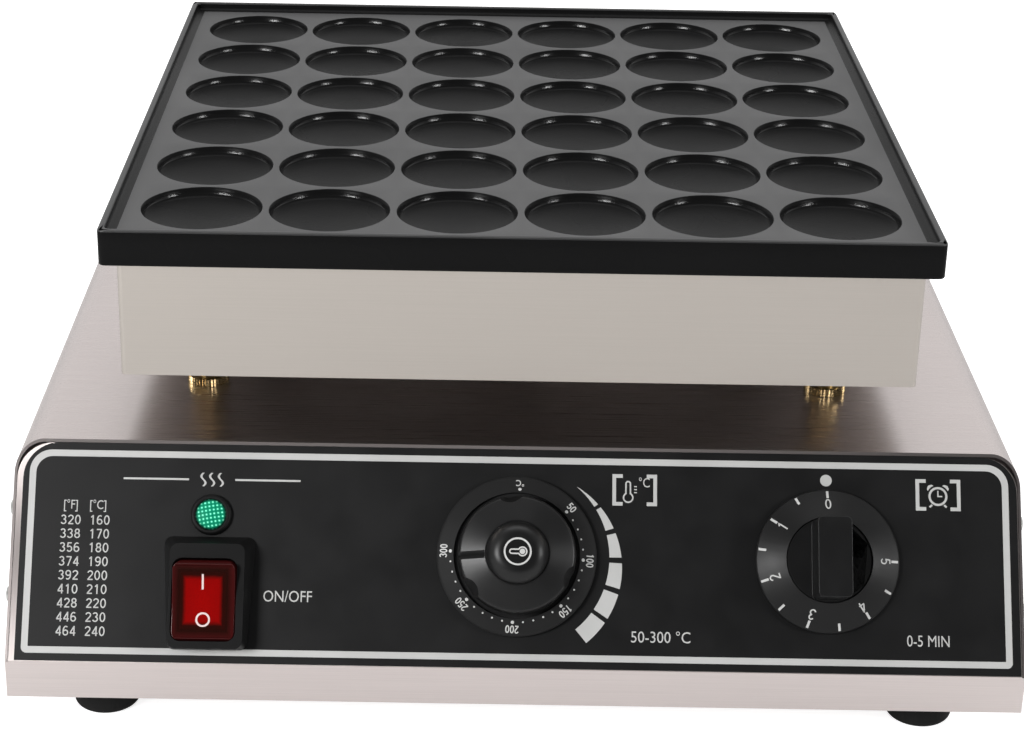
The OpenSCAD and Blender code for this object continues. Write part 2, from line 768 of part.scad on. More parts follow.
// Holes for the controls, cut through the front panel and the film on it
module control_holes(h) {
    linear_extrude(h) {
        translate([-control_x, lamp_up]) circle(d = lamp_barrel_d + 2 * screw_fit);
        translate([-rocker_x, switch_mid]) square([cutout_w, cutout_l], center = true);
        for (x = [0, timer_x]) translate([x, 0]) {
            circle(d = shaft_hole_d);
            for (side = [-1, 1]) translate([side * knob_screw_x, 0]) circle(d = screw_d + 2 * screw_fit);
        }
    }
}

module panel_overlay() {
    color("#262627") on_panel() difference() {
        translate([overlay_aside, overlay_top - overlay_l, 0])
            linear_extrude(overlay_t) arch(overlay_w, overlay_l, overlay_r);
        translate([0, 0, -over]) control_holes(overlay_t + 2 * over);
    }
}

module rear_panel() {
    low_z = foot_h + sheet_t + panel_gap;
    high_z = top_z - sheet_t - panel_gap;
    fold_l = high_z - fold_top_z - panel_corner - 4;
    color("#c2bab8") difference() {
        union() {
            translate([0, rear_y, low_z]) rotate([90, 0, 0])
                linear_extrude(sheet_t) arch(panel_w, high_z - low_z, panel_corner);
            for (side = [-1, 1])
                translate([side * (panel_w - sheet_t) / 2 - sheet_t / 2, rear_y - fold_w, fold_top_z + 4])
                    cube([sheet_t, fold_w - sheet_t / 2, fold_l]);
        }
        for (group = [-1, 1], i = [0 : vent_n - 1])
            translate([group * vent_x + (i - (vent_n - 1) / 2) * vent_step, rear_y + over, top_z - vent_drop])
                rotate([90, 0, 0]) linear_extrude(sheet_t + 2 * over) slot(vent_w, vent_l);
        translate([-gland_x, rear_y + over, gland_z]) rotate([90, 0, 0])
            cylinder(d = gland_thread_d + 2 * screw_fit, h = sheet_t + 2 * over);
        translate([-earth_x, rear_y + over, gland_z]) rotate([90, 0, 0])
            cylinder(d = screw_d + 2 * screw_fit, h = sheet_t + 2 * over);
        side_spots() side_hole();
    }
}

// A folded tray that closes the base from below and carries the feet
module bottom_tray() {
    tray_l = tray_rear_y - tray_front_y;
    side_l = tray_l - 2 * fold_w;
    mid_y = (tray_front_y + tray_rear_y) / 2;
    color("#a9a3a0") difference() {
        union() {
            translate([-panel_w / 2, tray_front_y, foot_h]) cube([panel_w, tray_l, sheet_t]);
            for (side = [-1, 1])
                translate([side * (panel_w - sheet_t) / 2 - sheet_t / 2, mid_y - side_l / 2, foot_h])
                    cube([sheet_t, side_l, fold_w]);
            for (y = [tray_front_y, tray_rear_y - sheet_t])
                translate([-panel_w / 2 + fold_w, y, foot_h])
                    cube([panel_w - 2 * fold_w, sheet_t, strip_h / 2]);
        }
        for (spot = foot_spots)
            translate([spot[0], spot[1], foot_h - over])
                cylinder(d = screw_d + 2 * screw_fit, h = sheet_t + 2 * over);
        for (side = [-1, 1])
            translate([block_x + side * block_w * 0.42, block_y, foot_h - over])
                cylinder(d = clip_screw_d + 2 * screw_fit, h = sheet_t + 2 * over);
        for (row = [-1, 1], i = [0 : vent_n - 1])
            translate([(i - (vent_n - 1) / 2) * 2 * vent_step, plate_y + row * vent_x, foot_h - over])
                linear_extrude(sheet_t + 2 * over) slot(vent_w, vent_l);
        side_spots() side_hole();
    }
}

module shell_screws() {
    color("#b9b9b6") for (side = [-1, 1]) side_spots() side_screw(side);
}

// A rubber foot with a stepped hole for its screw
module foot(n) {
    well_d = screw_head_d + 1.6;
    well_h = foot_h - foot_web;
    rim_r = foot_tip_d / 2;
    color("#1b1b1b") translate([foot_spots[n - 1][0], foot_spots[n - 1][1], 0]) difference() {
        rotate_extrude() {
            polygon([[0, foot_round], [rim_r, foot_round], [foot_d / 2, foot_h - foot_land],
                [foot_d / 2, foot_h], [0, foot_h]]);
            square([rim_r - foot_round, 2 * foot_round]);
            intersection() {
                translate([rim_r - foot_round, foot_round]) circle(foot_round);
                square([rim_r, foot_round]);
            }
        }
        translate([0, 0, -over]) cylinder(d = well_d, h = well_h + over);
        translate([0, 0, -over]) cylinder(d = screw_d + 2 * screw_fit, h = foot_h + 2 * over);
    }
}

module foot_screws() {
    color("#b9b9b6") for (spot = foot_spots)
        translate([spot[0], spot[1], foot_h - foot_web]) mirror([0, 0, 1])
            pan_screw(screw_d, foot_web + sheet_t + foot_screw_tail, screw_head_d, screw_head_h);
}

// Power switch

// A raised frame that flares out at its foot, and a neck that goes through the panel
module switch_frame() {
    side = frame_w / 2 - frame_corner;
    end = frame_l / 2 - frame_corner;
    color("#1d1d1e") on_panel(-control_x, switch_up) difference() {
        union() {
            hull() {
                for (x = [-1, 1]) {
                    translate([x * (side + frame_flare), end + frame_flare, overlay_t])
                        cylinder(r = frame_corner, h = frame_lip, $fn = 32);
                    translate([x * (side + frame_flare_low), -end, overlay_t])
                        cylinder(r = frame_corner, h = frame_lip, $fn = 32);
                }
                translate([0, 0, overlay_t + frame_h - frame_lip]) linear_extrude(frame_lip)
                    rounded_rect(frame_w, frame_l, frame_corner, $fn = 32);
            }
            translate([-rocker_aside, -rocker_drop, -neck_l]) linear_extrude(neck_l + over)
                square([window_w + 2 * neck_t, window_l + 2 * neck_t], center = true);
        }
        translate([-rocker_aside, -rocker_drop, -neck_l - over])
            linear_extrude(neck_l + frame_h + overlay_t + 2 * over)
                rounded_rect(window_w, window_l, rocker_corner);
        translate([-rocker_aside, -rocker_drop, pivot_out]) rotate([0, 90, 0])
            cylinder(d = pivot_d + 2 * turn_fit, h = window_w + 2 * (pivot_l + rocker_gap), center = true);
    }
}

// A rocker with curved ends about its pivot, a dished face and a stub pin on each side
module switch_rocker() {
    color("#b01010") on_panel(-rocker_x, switch_mid, pivot_out) rotate([rocker_tilt, 0, 0]) {
        intersection() {
            rotate([90, 0, 90]) linear_extrude(rocker_w, center = true) difference() {
                intersection() {
                    circle(rocker_end_r);
                    translate([-rocker_end_r, -rocker_foot])
                        square([2 * rocker_end_r, rocker_foot + rocker_top]);
                }
                translate([0, rocker_top - 1.2 + rocker_dish_r]) circle(rocker_dish_r, $fn = 180);
            }
            translate([0, 0, -2 * rocker_foot]) linear_extrude(2 * rocker_foot + 2 * rocker_top)
                rounded_rect(rocker_w, 2 * rocker_end_r, rocker_corner);
        }
        rotate([0, 90, 0]) cylinder(d = pivot_d, h = window_w + 2 * pivot_l, center = true);
    }
}

module switch_body() {
    color("#232324") on_panel(-rocker_x, switch_mid, switch_top - switch_depth)
        linear_extrude(switch_depth)
            rounded_rect(window_w - 2 * seat_gap, window_l - 2 * seat_gap, rocker_corner);
}

module switch_terminals() {
    color("#c9b27a") for (x = [-1, 1], y = [-1, 1])
        on_panel(-rocker_x + x * window_w / 4, switch_mid + y * window_l / 4,
            switch_top - switch_depth - blade_l / 2)
            cube([blade_w, blade_t, blade_l], center = true);
}

// Pilot lamp

module lamp_bezel() {
    color("#151515") on_panel(-control_x, lamp_up) difference() {
        rotate_extrude() polygon([
            [0, -lamp_depth], [lamp_barrel_d / 2, -lamp_depth], [lamp_barrel_d / 2, overlay_t],
            [lamp_d / 2, overlay_t], [lamp_d / 2, overlay_t + lamp_flange_h - 0.8],
            [lamp_d / 2 - 0.8, overlay_t + lamp_flange_h], [0, overlay_t + lamp_flange_h]]);
        translate([0, 0, overlay_t + lens_seat])
            cylinder(d = lamp_lens_d + 2 * seat_gap, h = lamp_flange_h + over);
    }
}

module lamp_lens() {
    rise = lens_proud;
    dome_r = (pow(lamp_lens_d / 2, 2) + pow(rise, 2)) / (2 * rise);
    low = overlay_t + lens_seat + seat_gap;
    high = overlay_t + lamp_flange_h + rise;
    color("#12a060") on_panel(-control_x, lamp_up) intersection() {
        translate([0, 0, low]) cylinder(d = lamp_lens_d, h = high);
        translate([0, 0, high - dome_r]) sphere(dome_r, $fn = 96);
    }
}

module lamp_nut() {
    color("#8f8f8c") on_panel(-control_x, lamp_up, -sheet_t - lamp_nut_h)
        hex_nut(lamp_nut_d, lamp_barrel_d + 2 * screw_fit, lamp_nut_h);
}

// Thermostat and its knob

module control_screws(x) {
    color("#b9b9b6") for (side = [-1, 1])
        on_panel(x + side * knob_screw_x, 0, overlay_t)
            pan_screw(screw_d, overlay_t + sheet_t + 7, screw_head_d, screw_head_h);
}

// Bores in a control body for its shaft and its two screws
module control_bores() {
    translate([0, 0, -shaft_depth]) cylinder(d = shaft_d + 2 * turn_fit, h = shaft_depth + over);
    for (side = [-1, 1]) translate([side * knob_screw_x, 0, -8])
        cylinder(d = screw_d + 2 * screw_fit, h = 8 + over);
}

module control_shaft(x, top) {
    low = -sheet_t - shaft_depth + 0.3;
    color("#b5a67a") on_panel(x, 0, low) cylinder(d = shaft_d, h = top - low);
}

module thermostat_body() {
    color("#7d7a74") on_panel(0, 0, -sheet_t) difference() {
        translate([0, 0, -thermostat_depth]) linear_extrude(thermostat_depth)
            rounded_rect(thermostat_w, thermostat_h, 3);
        control_bores();
    }
}

module thermostat_shaft() {
    control_shaft(0, overlay_t + knob_h - cap_seat - 0.5);
}

// The numbered disc round the grip, with an open ring inside it, hollow over the screws
module temperature_dial() {
    top = knob_hollow + knob_web;
    color("#242425") on_panel(0, 0, overlay_t) rotate_extrude() polygon([
        [shaft_d / 2 + turn_fit, knob_hollow], [dial_d / 2 - dial_lip - 0.6, knob_hollow],
        [dial_d / 2 - dial_lip, knob_gap], [dial_d / 2, knob_gap], [dial_d / 2, knob_gap + 1.2],
        [dial_d / 2 - 1, knob_gap + 2], [grip_d / 2 + moat_gap, top],
        [grip_d / 2 + moat_gap, knob_hollow + moat_floor], [grip_d / 2 - grip_undercut, knob_hollow + moat_floor],
        [grip_d / 2 - grip_undercut, top], [shaft_d / 2 + turn_fit, top]]);
}

// The grip: a rim with finger scallops, a cone up to the cap and a groove that marks the setting
module temperature_grip() {
    color("#1e1e1f") on_panel(0, 0, overlay_t) difference() {
        rotate_extrude() polygon([
            [shaft_d / 2 + turn_fit, grip_foot], [grip_d / 2 - grip_undercut, grip_foot],
            [grip_d / 2 - grip_undercut, grip_foot + 1], [grip_d / 2, grip_foot + 1.6],
            [grip_d / 2 - 0.4, grip_shoulder - 1], [grip_d / 2 - 1.4, grip_shoulder],
            [cap_d / 2 + 0.6, knob_h - cap_edge], [cap_d / 2 + seat_gap, knob_h - cap_edge],
            [cap_d / 2 + seat_gap, knob_h - cap_seat], [shaft_d / 2 + turn_fit, knob_h - cap_seat]]);
        for (i = [0 : scallop_n - 1])
            rotate([0, 0, scallop_turn + i * 360 / scallop_n])
                translate([grip_d / 2 + scallop_r - scallop_depth, 0, grip_foot - 1])
                    cylinder(r = scallop_r, h = knob_h);
        rotate([0, 0, 180 + pointer_turn]) pointer_groove();
    }
}

module pointer_groove() {
    slope = atan2(knob_h - cap_edge - grip_shoulder, (grip_d - cap_d) / 2 - 2);
    translate([cap_d / 2 + 0.6, 0, knob_h - cap_edge - pointer_depth]) rotate([0, slope, 0])
        translate([0, -pointer_w / 2, 0]) cube([grip_d / 2, pointer_w, pointer_depth + 4]);
}

// A round cap with a flat top and a full rounded edge
module temperature_cap() {
    low = knob_h - cap_seat + seat_gap;
    round_x = cap_d / 2 - cap_round;
    round_z = knob_h - cap_round;
    color("#232324") on_panel(0, 0, overlay_t) rotate_extrude() {
        translate([0, low]) square([cap_d / 2, round_z - low]);
        translate([0, low]) square([round_x, knob_h - low]);
        intersection() {
            translate([round_x, round_z]) circle(cap_round);
            translate([round_x, round_z]) square(cap_round);
        }
    }
}

// Timer and its knob

module timer_body() {
    color("#cfc9bd") on_panel(timer_x, 0, -sheet_t) difference() {
        translate([0, 0, -timer_depth]) linear_extrude(timer_depth) rounded_rect(timer_box, timer_box, 5);
        control_bores();
    }
}

module timer_shaft() {
    control_shaft(timer_x, overlay_t + timer_web + 5);
}

// A cone with the minute marks, hollow over the screws
module timer_skirt() {
    color("#2b2b2c") on_panel(timer_x, 0, overlay_t) rotate_extrude() polygon([
        [shaft_d / 2 + turn_fit, knob_hollow], [timer_d / 2 - 4, knob_hollow], [timer_d / 2 - 3.4, knob_gap],
        [timer_d / 2, knob_gap], [timer_d / 2, knob_gap + 1], [timer_d / 2 - 0.6, knob_gap + 1.6],
        [timer_drum_d / 2 + seat_gap, timer_web + 0.6], [timer_drum_d / 2 + seat_gap, knob_hollow + 2],
        [shaft_d / 2 + turn_fit, knob_hollow + 2]]);
}

// The drum set into the cone, with the bar that the fingers turn
module timer_grip() {
    drum_low = knob_hollow + 2 + seat_gap;
    color("#161617") on_panel(timer_x, 0, overlay_t) difference() {
        union() {
            translate([0, 0, drum_low]) cylinder(d = timer_drum_d, h = timer_web - drum_low);
            translate([0, 0, timer_web - over]) linear_extrude(timer_h - timer_web + over)
                rounded_rect(timer_bar_w, timer_bar_l, 2);
        }
        translate([0, 0, drum_low - over])
            cylinder(d = shaft_d + 2 * turn_fit, h = timer_web + 5.5 - drum_low + over);
    }
}

// Wiring in the base

module terminal_block() {
    way = block_w / block_way_n;
    color("#e6e0d0") difference() {
        translate([block_x - block_w / 2, block_y - block_d / 2, foot_h + sheet_t])
            cube([block_w, block_d, block_h]);
        for (i = [0 : block_way_n - 1], row = [-1, 1])
            translate([block_x + (i - (block_way_n - 1) / 2) * way, block_y + row * block_d / 4,
                foot_h + sheet_t + block_h / 2])
                cylinder(d = way / 2, h = block_h);
        for (side = [-1, 1])
            translate([block_x + side * block_w * 0.42, block_y, foot_h])
                cylinder(d = clip_screw_d + 2 * screw_fit, h = block_h + 2 * over);
    }
}

module block_screws() {
    color("#a8a8a4") for (side = [-1, 1])
        translate([block_x + side * block_w * 0.42, block_y, foot_h + sheet_t + block_h])
            pan_screw(clip_screw_d, block_h + sheet_t + 2, clip_screw_d * 1.8, clip_screw_d / 2);
}

// The cord gland on the rear panel, with its bore left open
module cord_gland() {
    color("#1c1c1c") translate([-gland_x, rear_y, gland_z]) rotate([-90, 0, 0]) difference() {
        union() {
            cylinder(d = gland_d * 1.15, h = 5, $fn = 6);
            translate([0, 0, 5]) cylinder(d1 = gland_d, d2 = gland_d * 0.72, h = gland_out - 5);
            translate([0, 0, -12]) cylinder(d = gland_thread_d, h = 12 + over);
        }
        translate([0, 0, -12 - over]) cylinder(d = gland_bore_d, h = gland_out + 12 + 2 * over);
    }
}

module gland_nut() {
    color("#1c1c1c") translate([-gland_x, rear_y - sheet_t, gland_z]) rotate([90, 0, 0])
        hex_nut(gland_d * 1.15, gland_thread_d + 2 * screw_fit, 5);
}

module earth_stud() {
    color("#c9b27a") translate([-earth_x, rear_y, gland_z]) rotate([-90, 0, 0])
        pan_screw(screw_d, 16, screw_head_d, screw_head_h);
}

// Two leads from the rear pins of the middle element, down the rear of the conduit to the terminal block
module heater_leads() {
    pin_y = element_front_y + element_l + element_pin_l + seat_gap;
    lead_y = conduit_y + 0.3 * lead_step;
    way = block_w / block_way_n;
    way_z = foot_h + sheet_t + block_h / 2 + seat_gap;
    color("#d8d2c2") for (side = [-1, 1]) wire([
        [side * pitch / 2, pin_y, element_z],
        [side * pitch / 2, pin_y + wire_end, element_z],
        [side * pitch / 2, pin_y + 2 * wire_end, element_z - 0.2 * lead_step],
        [side * pitch / 3, pin_y, clamp_z - 0.9 * lead_step],
        [side * 1.2 * wire_apart, lead_y + 1.8 * lead_step, clamp_z - 1.2 * lead_step],
        [side * wire_apart, lead_y, pad_z + pad_t - 0.5 * lead_step],
        [side * wire_apart, lead_y, top_z],
        [side * wire_apart, lead_y, top_z - conduit_tail],
        [side * wire_apart, lead_y + 0.2 * lead_step, top_z - conduit_tail + (0.4 * side - 1.2) * lead_step],
        [block_x * 0.4, lead_y + 0.6 * lead_step, top_z - conduit_tail + (0.6 * side - 1.8) * lead_step],
        [block_x + side * way, block_y - block_d / 4, way_z + block_h + wire_end + side * 0.3 * lead_step],
        [block_x + side * way, block_y - block_d / 4, way_z + block_h / 2 + wire_end],
        [block_x + side * way, block_y - block_d / 4, way_z]
    ], wire_d);
}

// Two leads from the upper blades of the switch to the terminal block
module power_leads() {
    way = block_w / block_way_n;
    way_z = foot_h + sheet_t + block_h / 2 + seat_gap;
    blade_up = switch_mid + window_l / 4;
    blade_out = switch_top - switch_depth - blade_l - seat_gap;
    color("#7a2f20") for (side = [-1, 1]) wire([
        panel_point(-rocker_x + side * window_w / 4, blade_up, blade_out),
        panel_point(-rocker_x + side * window_w / 4, blade_up, blade_out - wire_end),
        panel_point(-rocker_x + side * window_w / 4, blade_up, blade_out - 2 * wire_end),
        [-control_x + 1.4 * lead_step + side * wire_apart, strip_y + 10 * lead_step, foot_h + 2 * lead_step],
        [-control_x + 4 * lead_step + side * wire_apart, plate_y - 2 * lead_step,
            foot_h + (2 + 0.3 * side) * lead_step],
        [-lead_step, block_y - 3 * lead_step, foot_h + 2.4 * lead_step + side * wire_apart],
        [block_x - 4 * lead_step + side * way / 2, block_y + block_d / 4 + 0.4 * lead_step,
            foot_h + (3 + 0.4 * side) * lead_step],
        [block_x + side * way, block_y + block_d / 4, way_z + block_h + side * 0.3 * lead_step],
        [block_x + side * way, block_y + block_d / 4, way_z + block_h / 2 + wire_end],
        [block_x + side * way, block_y + block_d / 4, way_z]
    ], wire_d);
}

baking_plate();
plate_screws();
heater_box();
for (n = [1 : 3])
    heating_element(n);
element_clamp(clamp_ys[0]);  // element_clamp_front
element_clamp(clamp_ys[1]);  // element_clamp_rear
clamp_bolts();
insulation_pad();
thermostat_bulb();
bulb_clip();
clip_screws();
capillary_tube();
conduit();
conduit_nut();
leg_bolts();
leg_lock_nuts();
for (n = [1 : 4])
    levelling_nut(n);
base_shell();
front_panel();
panel_overlay();
rear_panel();
bottom_tray();
shell_screws();
for (n = [1 : 4])
    foot(n);
foot_screws();
switch_frame();
switch_rocker();
switch_body();
switch_terminals();
lamp_bezel();
lamp_lens();
lamp_nut();
thermostat_body();
thermostat_shaft();
control_screws(0);  // thermostat_screws
temperature_dial();
temperature_grip();
temperature_cap();
timer_body();
timer_shaft();
control_screws(timer_x);  // timer_screws
timer_skirt();
timer_grip();
terminal_block();
block_screws();
cord_gland();
gland_nut();
earth_stud();
heater_leads();
power_leads();
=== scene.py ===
"""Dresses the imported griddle: plate, steel, film, knobs, switch, lamp and prints, with its studio."""

import json
from math import asin, atan2, cos, degrees, pi, radians, sin, sqrt

import bpy
from mathutils import Matrix, Vector


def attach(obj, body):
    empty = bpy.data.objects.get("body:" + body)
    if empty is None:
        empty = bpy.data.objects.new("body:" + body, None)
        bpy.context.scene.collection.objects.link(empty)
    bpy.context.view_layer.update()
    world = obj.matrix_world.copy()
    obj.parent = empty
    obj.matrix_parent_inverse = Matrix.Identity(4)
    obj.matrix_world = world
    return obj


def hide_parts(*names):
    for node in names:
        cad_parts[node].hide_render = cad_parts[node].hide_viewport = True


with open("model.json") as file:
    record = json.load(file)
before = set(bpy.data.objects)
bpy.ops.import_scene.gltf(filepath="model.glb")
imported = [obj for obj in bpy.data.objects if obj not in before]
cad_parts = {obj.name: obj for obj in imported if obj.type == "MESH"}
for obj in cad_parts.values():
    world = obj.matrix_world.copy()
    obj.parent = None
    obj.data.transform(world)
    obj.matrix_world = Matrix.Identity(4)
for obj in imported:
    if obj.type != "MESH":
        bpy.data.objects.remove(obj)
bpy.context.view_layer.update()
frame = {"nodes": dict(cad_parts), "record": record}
nodes = frame["nodes"]

# Sizes of the object, in millimetres
MM = 0.001
PANEL_LEAN = radians(34)
PANEL_MID = Vector((0, -166.9188, 64.75))
PANEL_NORMAL = (0.0, -cos(PANEL_LEAN), sin(PANEL_LEAN))
FILM_T = 0.4
FILM_TOP = 39.31
FILM_LOW = -40.41
PRINT_TOP = 39.71
CONTROL_X = 112.0
TIMER_X = 113.4
ROCKER_X = -112.9
ROCKER_MID = -18.1
LAMP_UP = 13.4
PLATE_Y = 18.8459
LAND_Z = 174.0
PITCH = 47.7
MOULDS = 6
INK_T = 0.04


# Small helpers for modelling


def deselect():
    if bpy.context.object and bpy.context.object.mode != "OBJECT":
        bpy.ops.object.mode_set(mode="OBJECT")
    bpy.ops.object.select_all(action="DESELECT")


def pick(*objects):
    deselect()
    for obj in objects:
        obj.select_set(True)
    bpy.context.view_layer.objects.active = objects[0]


def shift(x, y, z):
    """A move by millimetres."""
    return Matrix.Translation(Vector((x, y, z)) * MM)


def spin(angle, axis):
    return Matrix.Rotation(angle, 4, axis)


def settle(obj):
    """Applies the object's place, turn and size to its mesh."""
    pick(obj)
    bpy.ops.object.transform_apply(location=True, rotation=True, scale=True)
    return obj


def place(obj, matrix):
    obj.matrix_world = matrix @ obj.matrix_world
    return settle(obj)


def put_in_scene(name, data):
    obj = bpy.data.objects.new(name, data)
    bpy.context.scene.collection.objects.link(obj)
    return obj


def join(objects, name):
    pick(*objects)
    if len(objects) > 1:
        bpy.ops.object.join()
    joined = bpy.context.object
    joined.name = name
    joined.data.name = name
    return joined


def smooth(obj, angle):
    pick(obj)
    bpy.ops.object.shade_smooth_by_angle(angle=radians(angle))
    return obj


def outward(obj):
    """Merges the doubles and turns all faces outwards."""
    pick(obj)
    bpy.ops.object.mode_set(mode="EDIT")
    bpy.ops.mesh.select_all(action="SELECT")
    bpy.ops.mesh.remove_doubles(threshold=1e-6)
    bpy.ops.mesh.normals_make_consistent(inside=False)
    bpy.ops.object.mode_set(mode="OBJECT")
    return obj


def apply_all(obj):
    pick(obj)
    for modifier in list(obj.modifiers):
        bpy.ops.object.modifier_apply(modifier=modifier.name)
    return obj


def even_shading(obj, angle):
    """Smooth shading that follows the large faces, with the sharp edges kept."""
    smooth(obj, angle)
    even = obj.modifiers.new("even_shading", "WEIGHTED_NORMAL")
    even.keep_sharp = True
    return apply_all(obj)


def dress(obj, name, material, body, slot, *replaced):
    """Names a finished piece, gives it its material and body, and hides the nodes that it stands for; the
    slot is not used.
    """
    obj.name = name
    obj.data.name = name
    obj.data.materials.clear()
    obj.data.materials.append(material)
    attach(obj, body)
    if replaced:
        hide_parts(*replaced)
    return obj


def soft_copy(node, width, segments, angle):
    """A copy of a node with its sharp edges rounded."""
    obj = put_in_scene(node + "_soft", nodes[node].data.copy())
    pick(obj)
    bpy.ops.mesh.customdata_custom_splitnormals_clear()
    bpy.ops.object.mode_set(mode="EDIT")
    bpy.ops.mesh.select_all(action="SELECT")
    bpy.ops.mesh.remove_doubles(threshold=2e-6)
    bpy.ops.mesh.dissolve_limited(angle_limit=radians(0.6))
    bpy.ops.mesh.select_mode(type="EDGE")
    bpy.ops.mesh.select_all(action="DESELECT")
    bpy.ops.mesh.edges_select_sharp(sharpness=radians(angle))
    bpy.ops.transform.edge_bevelweight(value=1.0)
    bpy.ops.object.mode_set(mode="OBJECT")
    bevel = obj.modifiers.new("rounding", "BEVEL")
    bevel.width = width * MM
    bevel.segments = segments
    bevel.limit_method = "WEIGHT"
    apply_all(obj)
    return even_shading(obj, 40)


# Places on the front panel

PANEL = Matrix.Translation(PANEL_MID * MM) @ spin(pi / 2 - PANEL_LEAN, "X")


def on_panel(x, up, out=0.0, turn=0.0):
    """x across, up the slope and out of it, in millimetres; turn is clockwise as seen, in degrees."""
    return PANEL @ shift(x, up, out) @ spin(-radians(turn), "Z")


def on_ring(x, inner, outer, r, turn):
    """A place on a knob's sloping face, between the radius and height of its two edges, up outwards."""
    share = (r - inner[0]) / (outer[0] - inner[0])
    height = FILM_T + inner[1] + share * (outer[1] - inner[1])
    slope = atan2(outer[1] - inner[1], outer[0] - inner[0])
    return on_panel(x, 0, 0, turn) @ shift(0, r, height) @ spin(slope, "X")


# Flat print shapes, as closed outlines in millimetres


def rect(x0, y0, x1, y1):
    return [(x0, y0), (x1, y0), (x1, y1), (x0, y1)]


def disc(x, y, r, n=32):
    return [(x + r * cos(2 * pi * k / n), y + r * sin(2 * pi * k / n)) for k in range(n)]


def stroke(x0, y0, x1, y1, w):
    length = sqrt((x1 - x0) ** 2 + (y1 - y0) ** 2)
    nx = -(y1 - y0) / length * w / 2
    ny = (x1 - x0) / length * w / 2
    return [(x0 + nx, y0 + ny), (x0 - nx, y0 - ny), (x1 - nx, y1 - ny), (x1 + nx, y1 + ny)]


def clock_point(r, turn):
    """A point at r from the middle, turned clockwise from the top by turn degrees."""
    return r * sin(radians(turn)), r * cos(radians(turn))


def rounded(x0, y0, x1, y1, top_r, low_r, n=10):
    """A rectangle with its own corner radius at the top and at the bottom."""
    points = []
    corners = [(x1, y1, top_r, 0), (x0, y1, top_r, 90), (x0, y0, low_r, 180), (x1, y0, low_r, 270)]
    for x, y, r, start in corners:
        cx = x - r if x == x1 else x + r
        cy = y - r if y == y1 else y + r
        for k in range(n + 1):
            a = radians(start + 90 * k / n)
            points.append((cx + r * cos(a), cy + r * sin(a)))
    return points


def ink(outlines, matrix, depth=INK_T):
    """A thin solid of ink from closed outlines; an outline inside another one is a hole."""
    curve = bpy.data.curves.new("ink", "CURVE")
    curve.dimensions = "2D"
    curve.fill_mode = "BOTH"
    curve.extrude = depth / 2 * MM
    for outline in outlines:
        spline = curve.splines.new("POLY")
        spline.points.add(len(outline) - 1)
        for point, (x, y) in zip(spline.points, outline):
            point.co = (x * MM, y * MM, 0, 1)
        spline.use_cyclic_u = True
    pick(put_in_scene("ink", curve))
    bpy.ops.object.convert(target="MESH")
    return place(bpy.context.object, matrix @ Matrix.Translation((0, 0, depth / 2 * MM)))


# Share of the font's size that a capital has
FONT_CAP = 0.72


def figures(text, height, matrix, squeeze, weight=0.0):
    """Figures or signs of the given cap height, centred on the matrix."""
    deselect()
    bpy.ops.object.text_add()
    obj = bpy.context.object
    obj.data.body = text
    obj.data.align_x = "CENTER"
    obj.data.align_y = "CENTER"
    obj.data.size = height * MM / FONT_CAP
    obj.data.offset = weight * MM
    obj.data.extrude = INK_T / 2 * MM
    obj.data.resolution_u = 3
    obj.scale = (squeeze, 1, 1)
    bpy.ops.object.convert(target="MESH")
    obj = settle(bpy.context.object)
    return place(obj, matrix @ Matrix.Translation((0, 0, INK_T / 2 * MM)))


# Numerals, drawn as lines in a box NUMERAL_W wide and 1 high

NUMERAL_W = 0.62
NUMERAL_STEP = 0.776


def bow(x, y, rx, ry, start, stop, n=12):
    """Points along part of an ellipse, by angles in degrees; a full turn leaves out its last point."""
    last = n - 1 if abs(stop - start) == 360 else n
    turns = [radians(start + (stop - start) * k / n) for k in range(last + 1)]
    return [(x + rx * cos(a), y + ry * sin(a)) for a in turns]


def open_line(*points):
    return list(points), False


def loop(x, y, rx, ry, n=20):
    """A whole ellipse as a closed line."""
    return bow(x, y, rx, ry, 0, 360, n), True


SIX = [
    loop(0.31, 0.31, 0.25, 0.25),
    open_line(*bow(0.34, 0.5, 0.28, 0.44, 55, 180), (0.06, 0.31)),
]
NUMERALS = {
    "0": [loop(0.31, 0.5, 0.25, 0.44, 24)],
    "1": [open_line((0.36, 0), (0.36, 1)), open_line((0.38, 0.97), (0.14, 0.76))],
    "2": [
        open_line(*bow(0.31, 0.71, 0.25, 0.23, 170, -38), (0.07, 0.06)),
        open_line((0.03, 0.06), (0.6, 0.06)),
    ],
    "3": [
        open_line(*bow(0.29, 0.735, 0.22, 0.205, 160, -90)),
        open_line(*bow(0.29, 0.29, 0.26, 0.23, 90, -160)),
    ],
    "4": [
        open_line((0.46, 0), (0.46, 1)),
        open_line((0.46, 0.96), (0.05, 0.29)),
        open_line((0.02, 0.27), (0.62, 0.27)),
    ],
    "5": [
        open_line((0.54, 0.94), (0.12, 0.94)),
        open_line((0.15, 0.97), (0.09, 0.48)),
        open_line(*bow(0.3, 0.325, 0.26, 0.265, 140, -150)),
    ],
    "6": SIX,
    "7": [open_line((0.04, 0.94), (0.59, 0.94)), open_line((0.56, 0.93), (0.22, 0))],
    "8": [loop(0.31, 0.735, 0.21, 0.205), loop(0.31, 0.29, 0.25, 0.23)],
    "9": [([(NUMERAL_W - x, 1 - y) for x, y in points], closed) for points, closed in SIX],
}


def thick(points, width, closed):
    """The outline of a line of the given width; a closed line has one outline on each side."""
    sides = ([], [])
    last = len(points) - 1
    for k, (x, y) in enumerate(points):
        before = points[k - 1] if closed or k > 0 else points[k]
        after = points[(k + 1) % len(points)] if closed or k < last else points[k]
        dx = after[0] - before[0]
        dy = after[1] - before[1]
        half = width / 2 / sqrt(dx * dx + dy * dy)
        sides[0].append((x - dy * half, y + dx * half))
        sides[1].append((x + dy * half, y - dx * half))
    if closed:
        return list(sides)
    return [sides[0] + sides[1][::-1]]


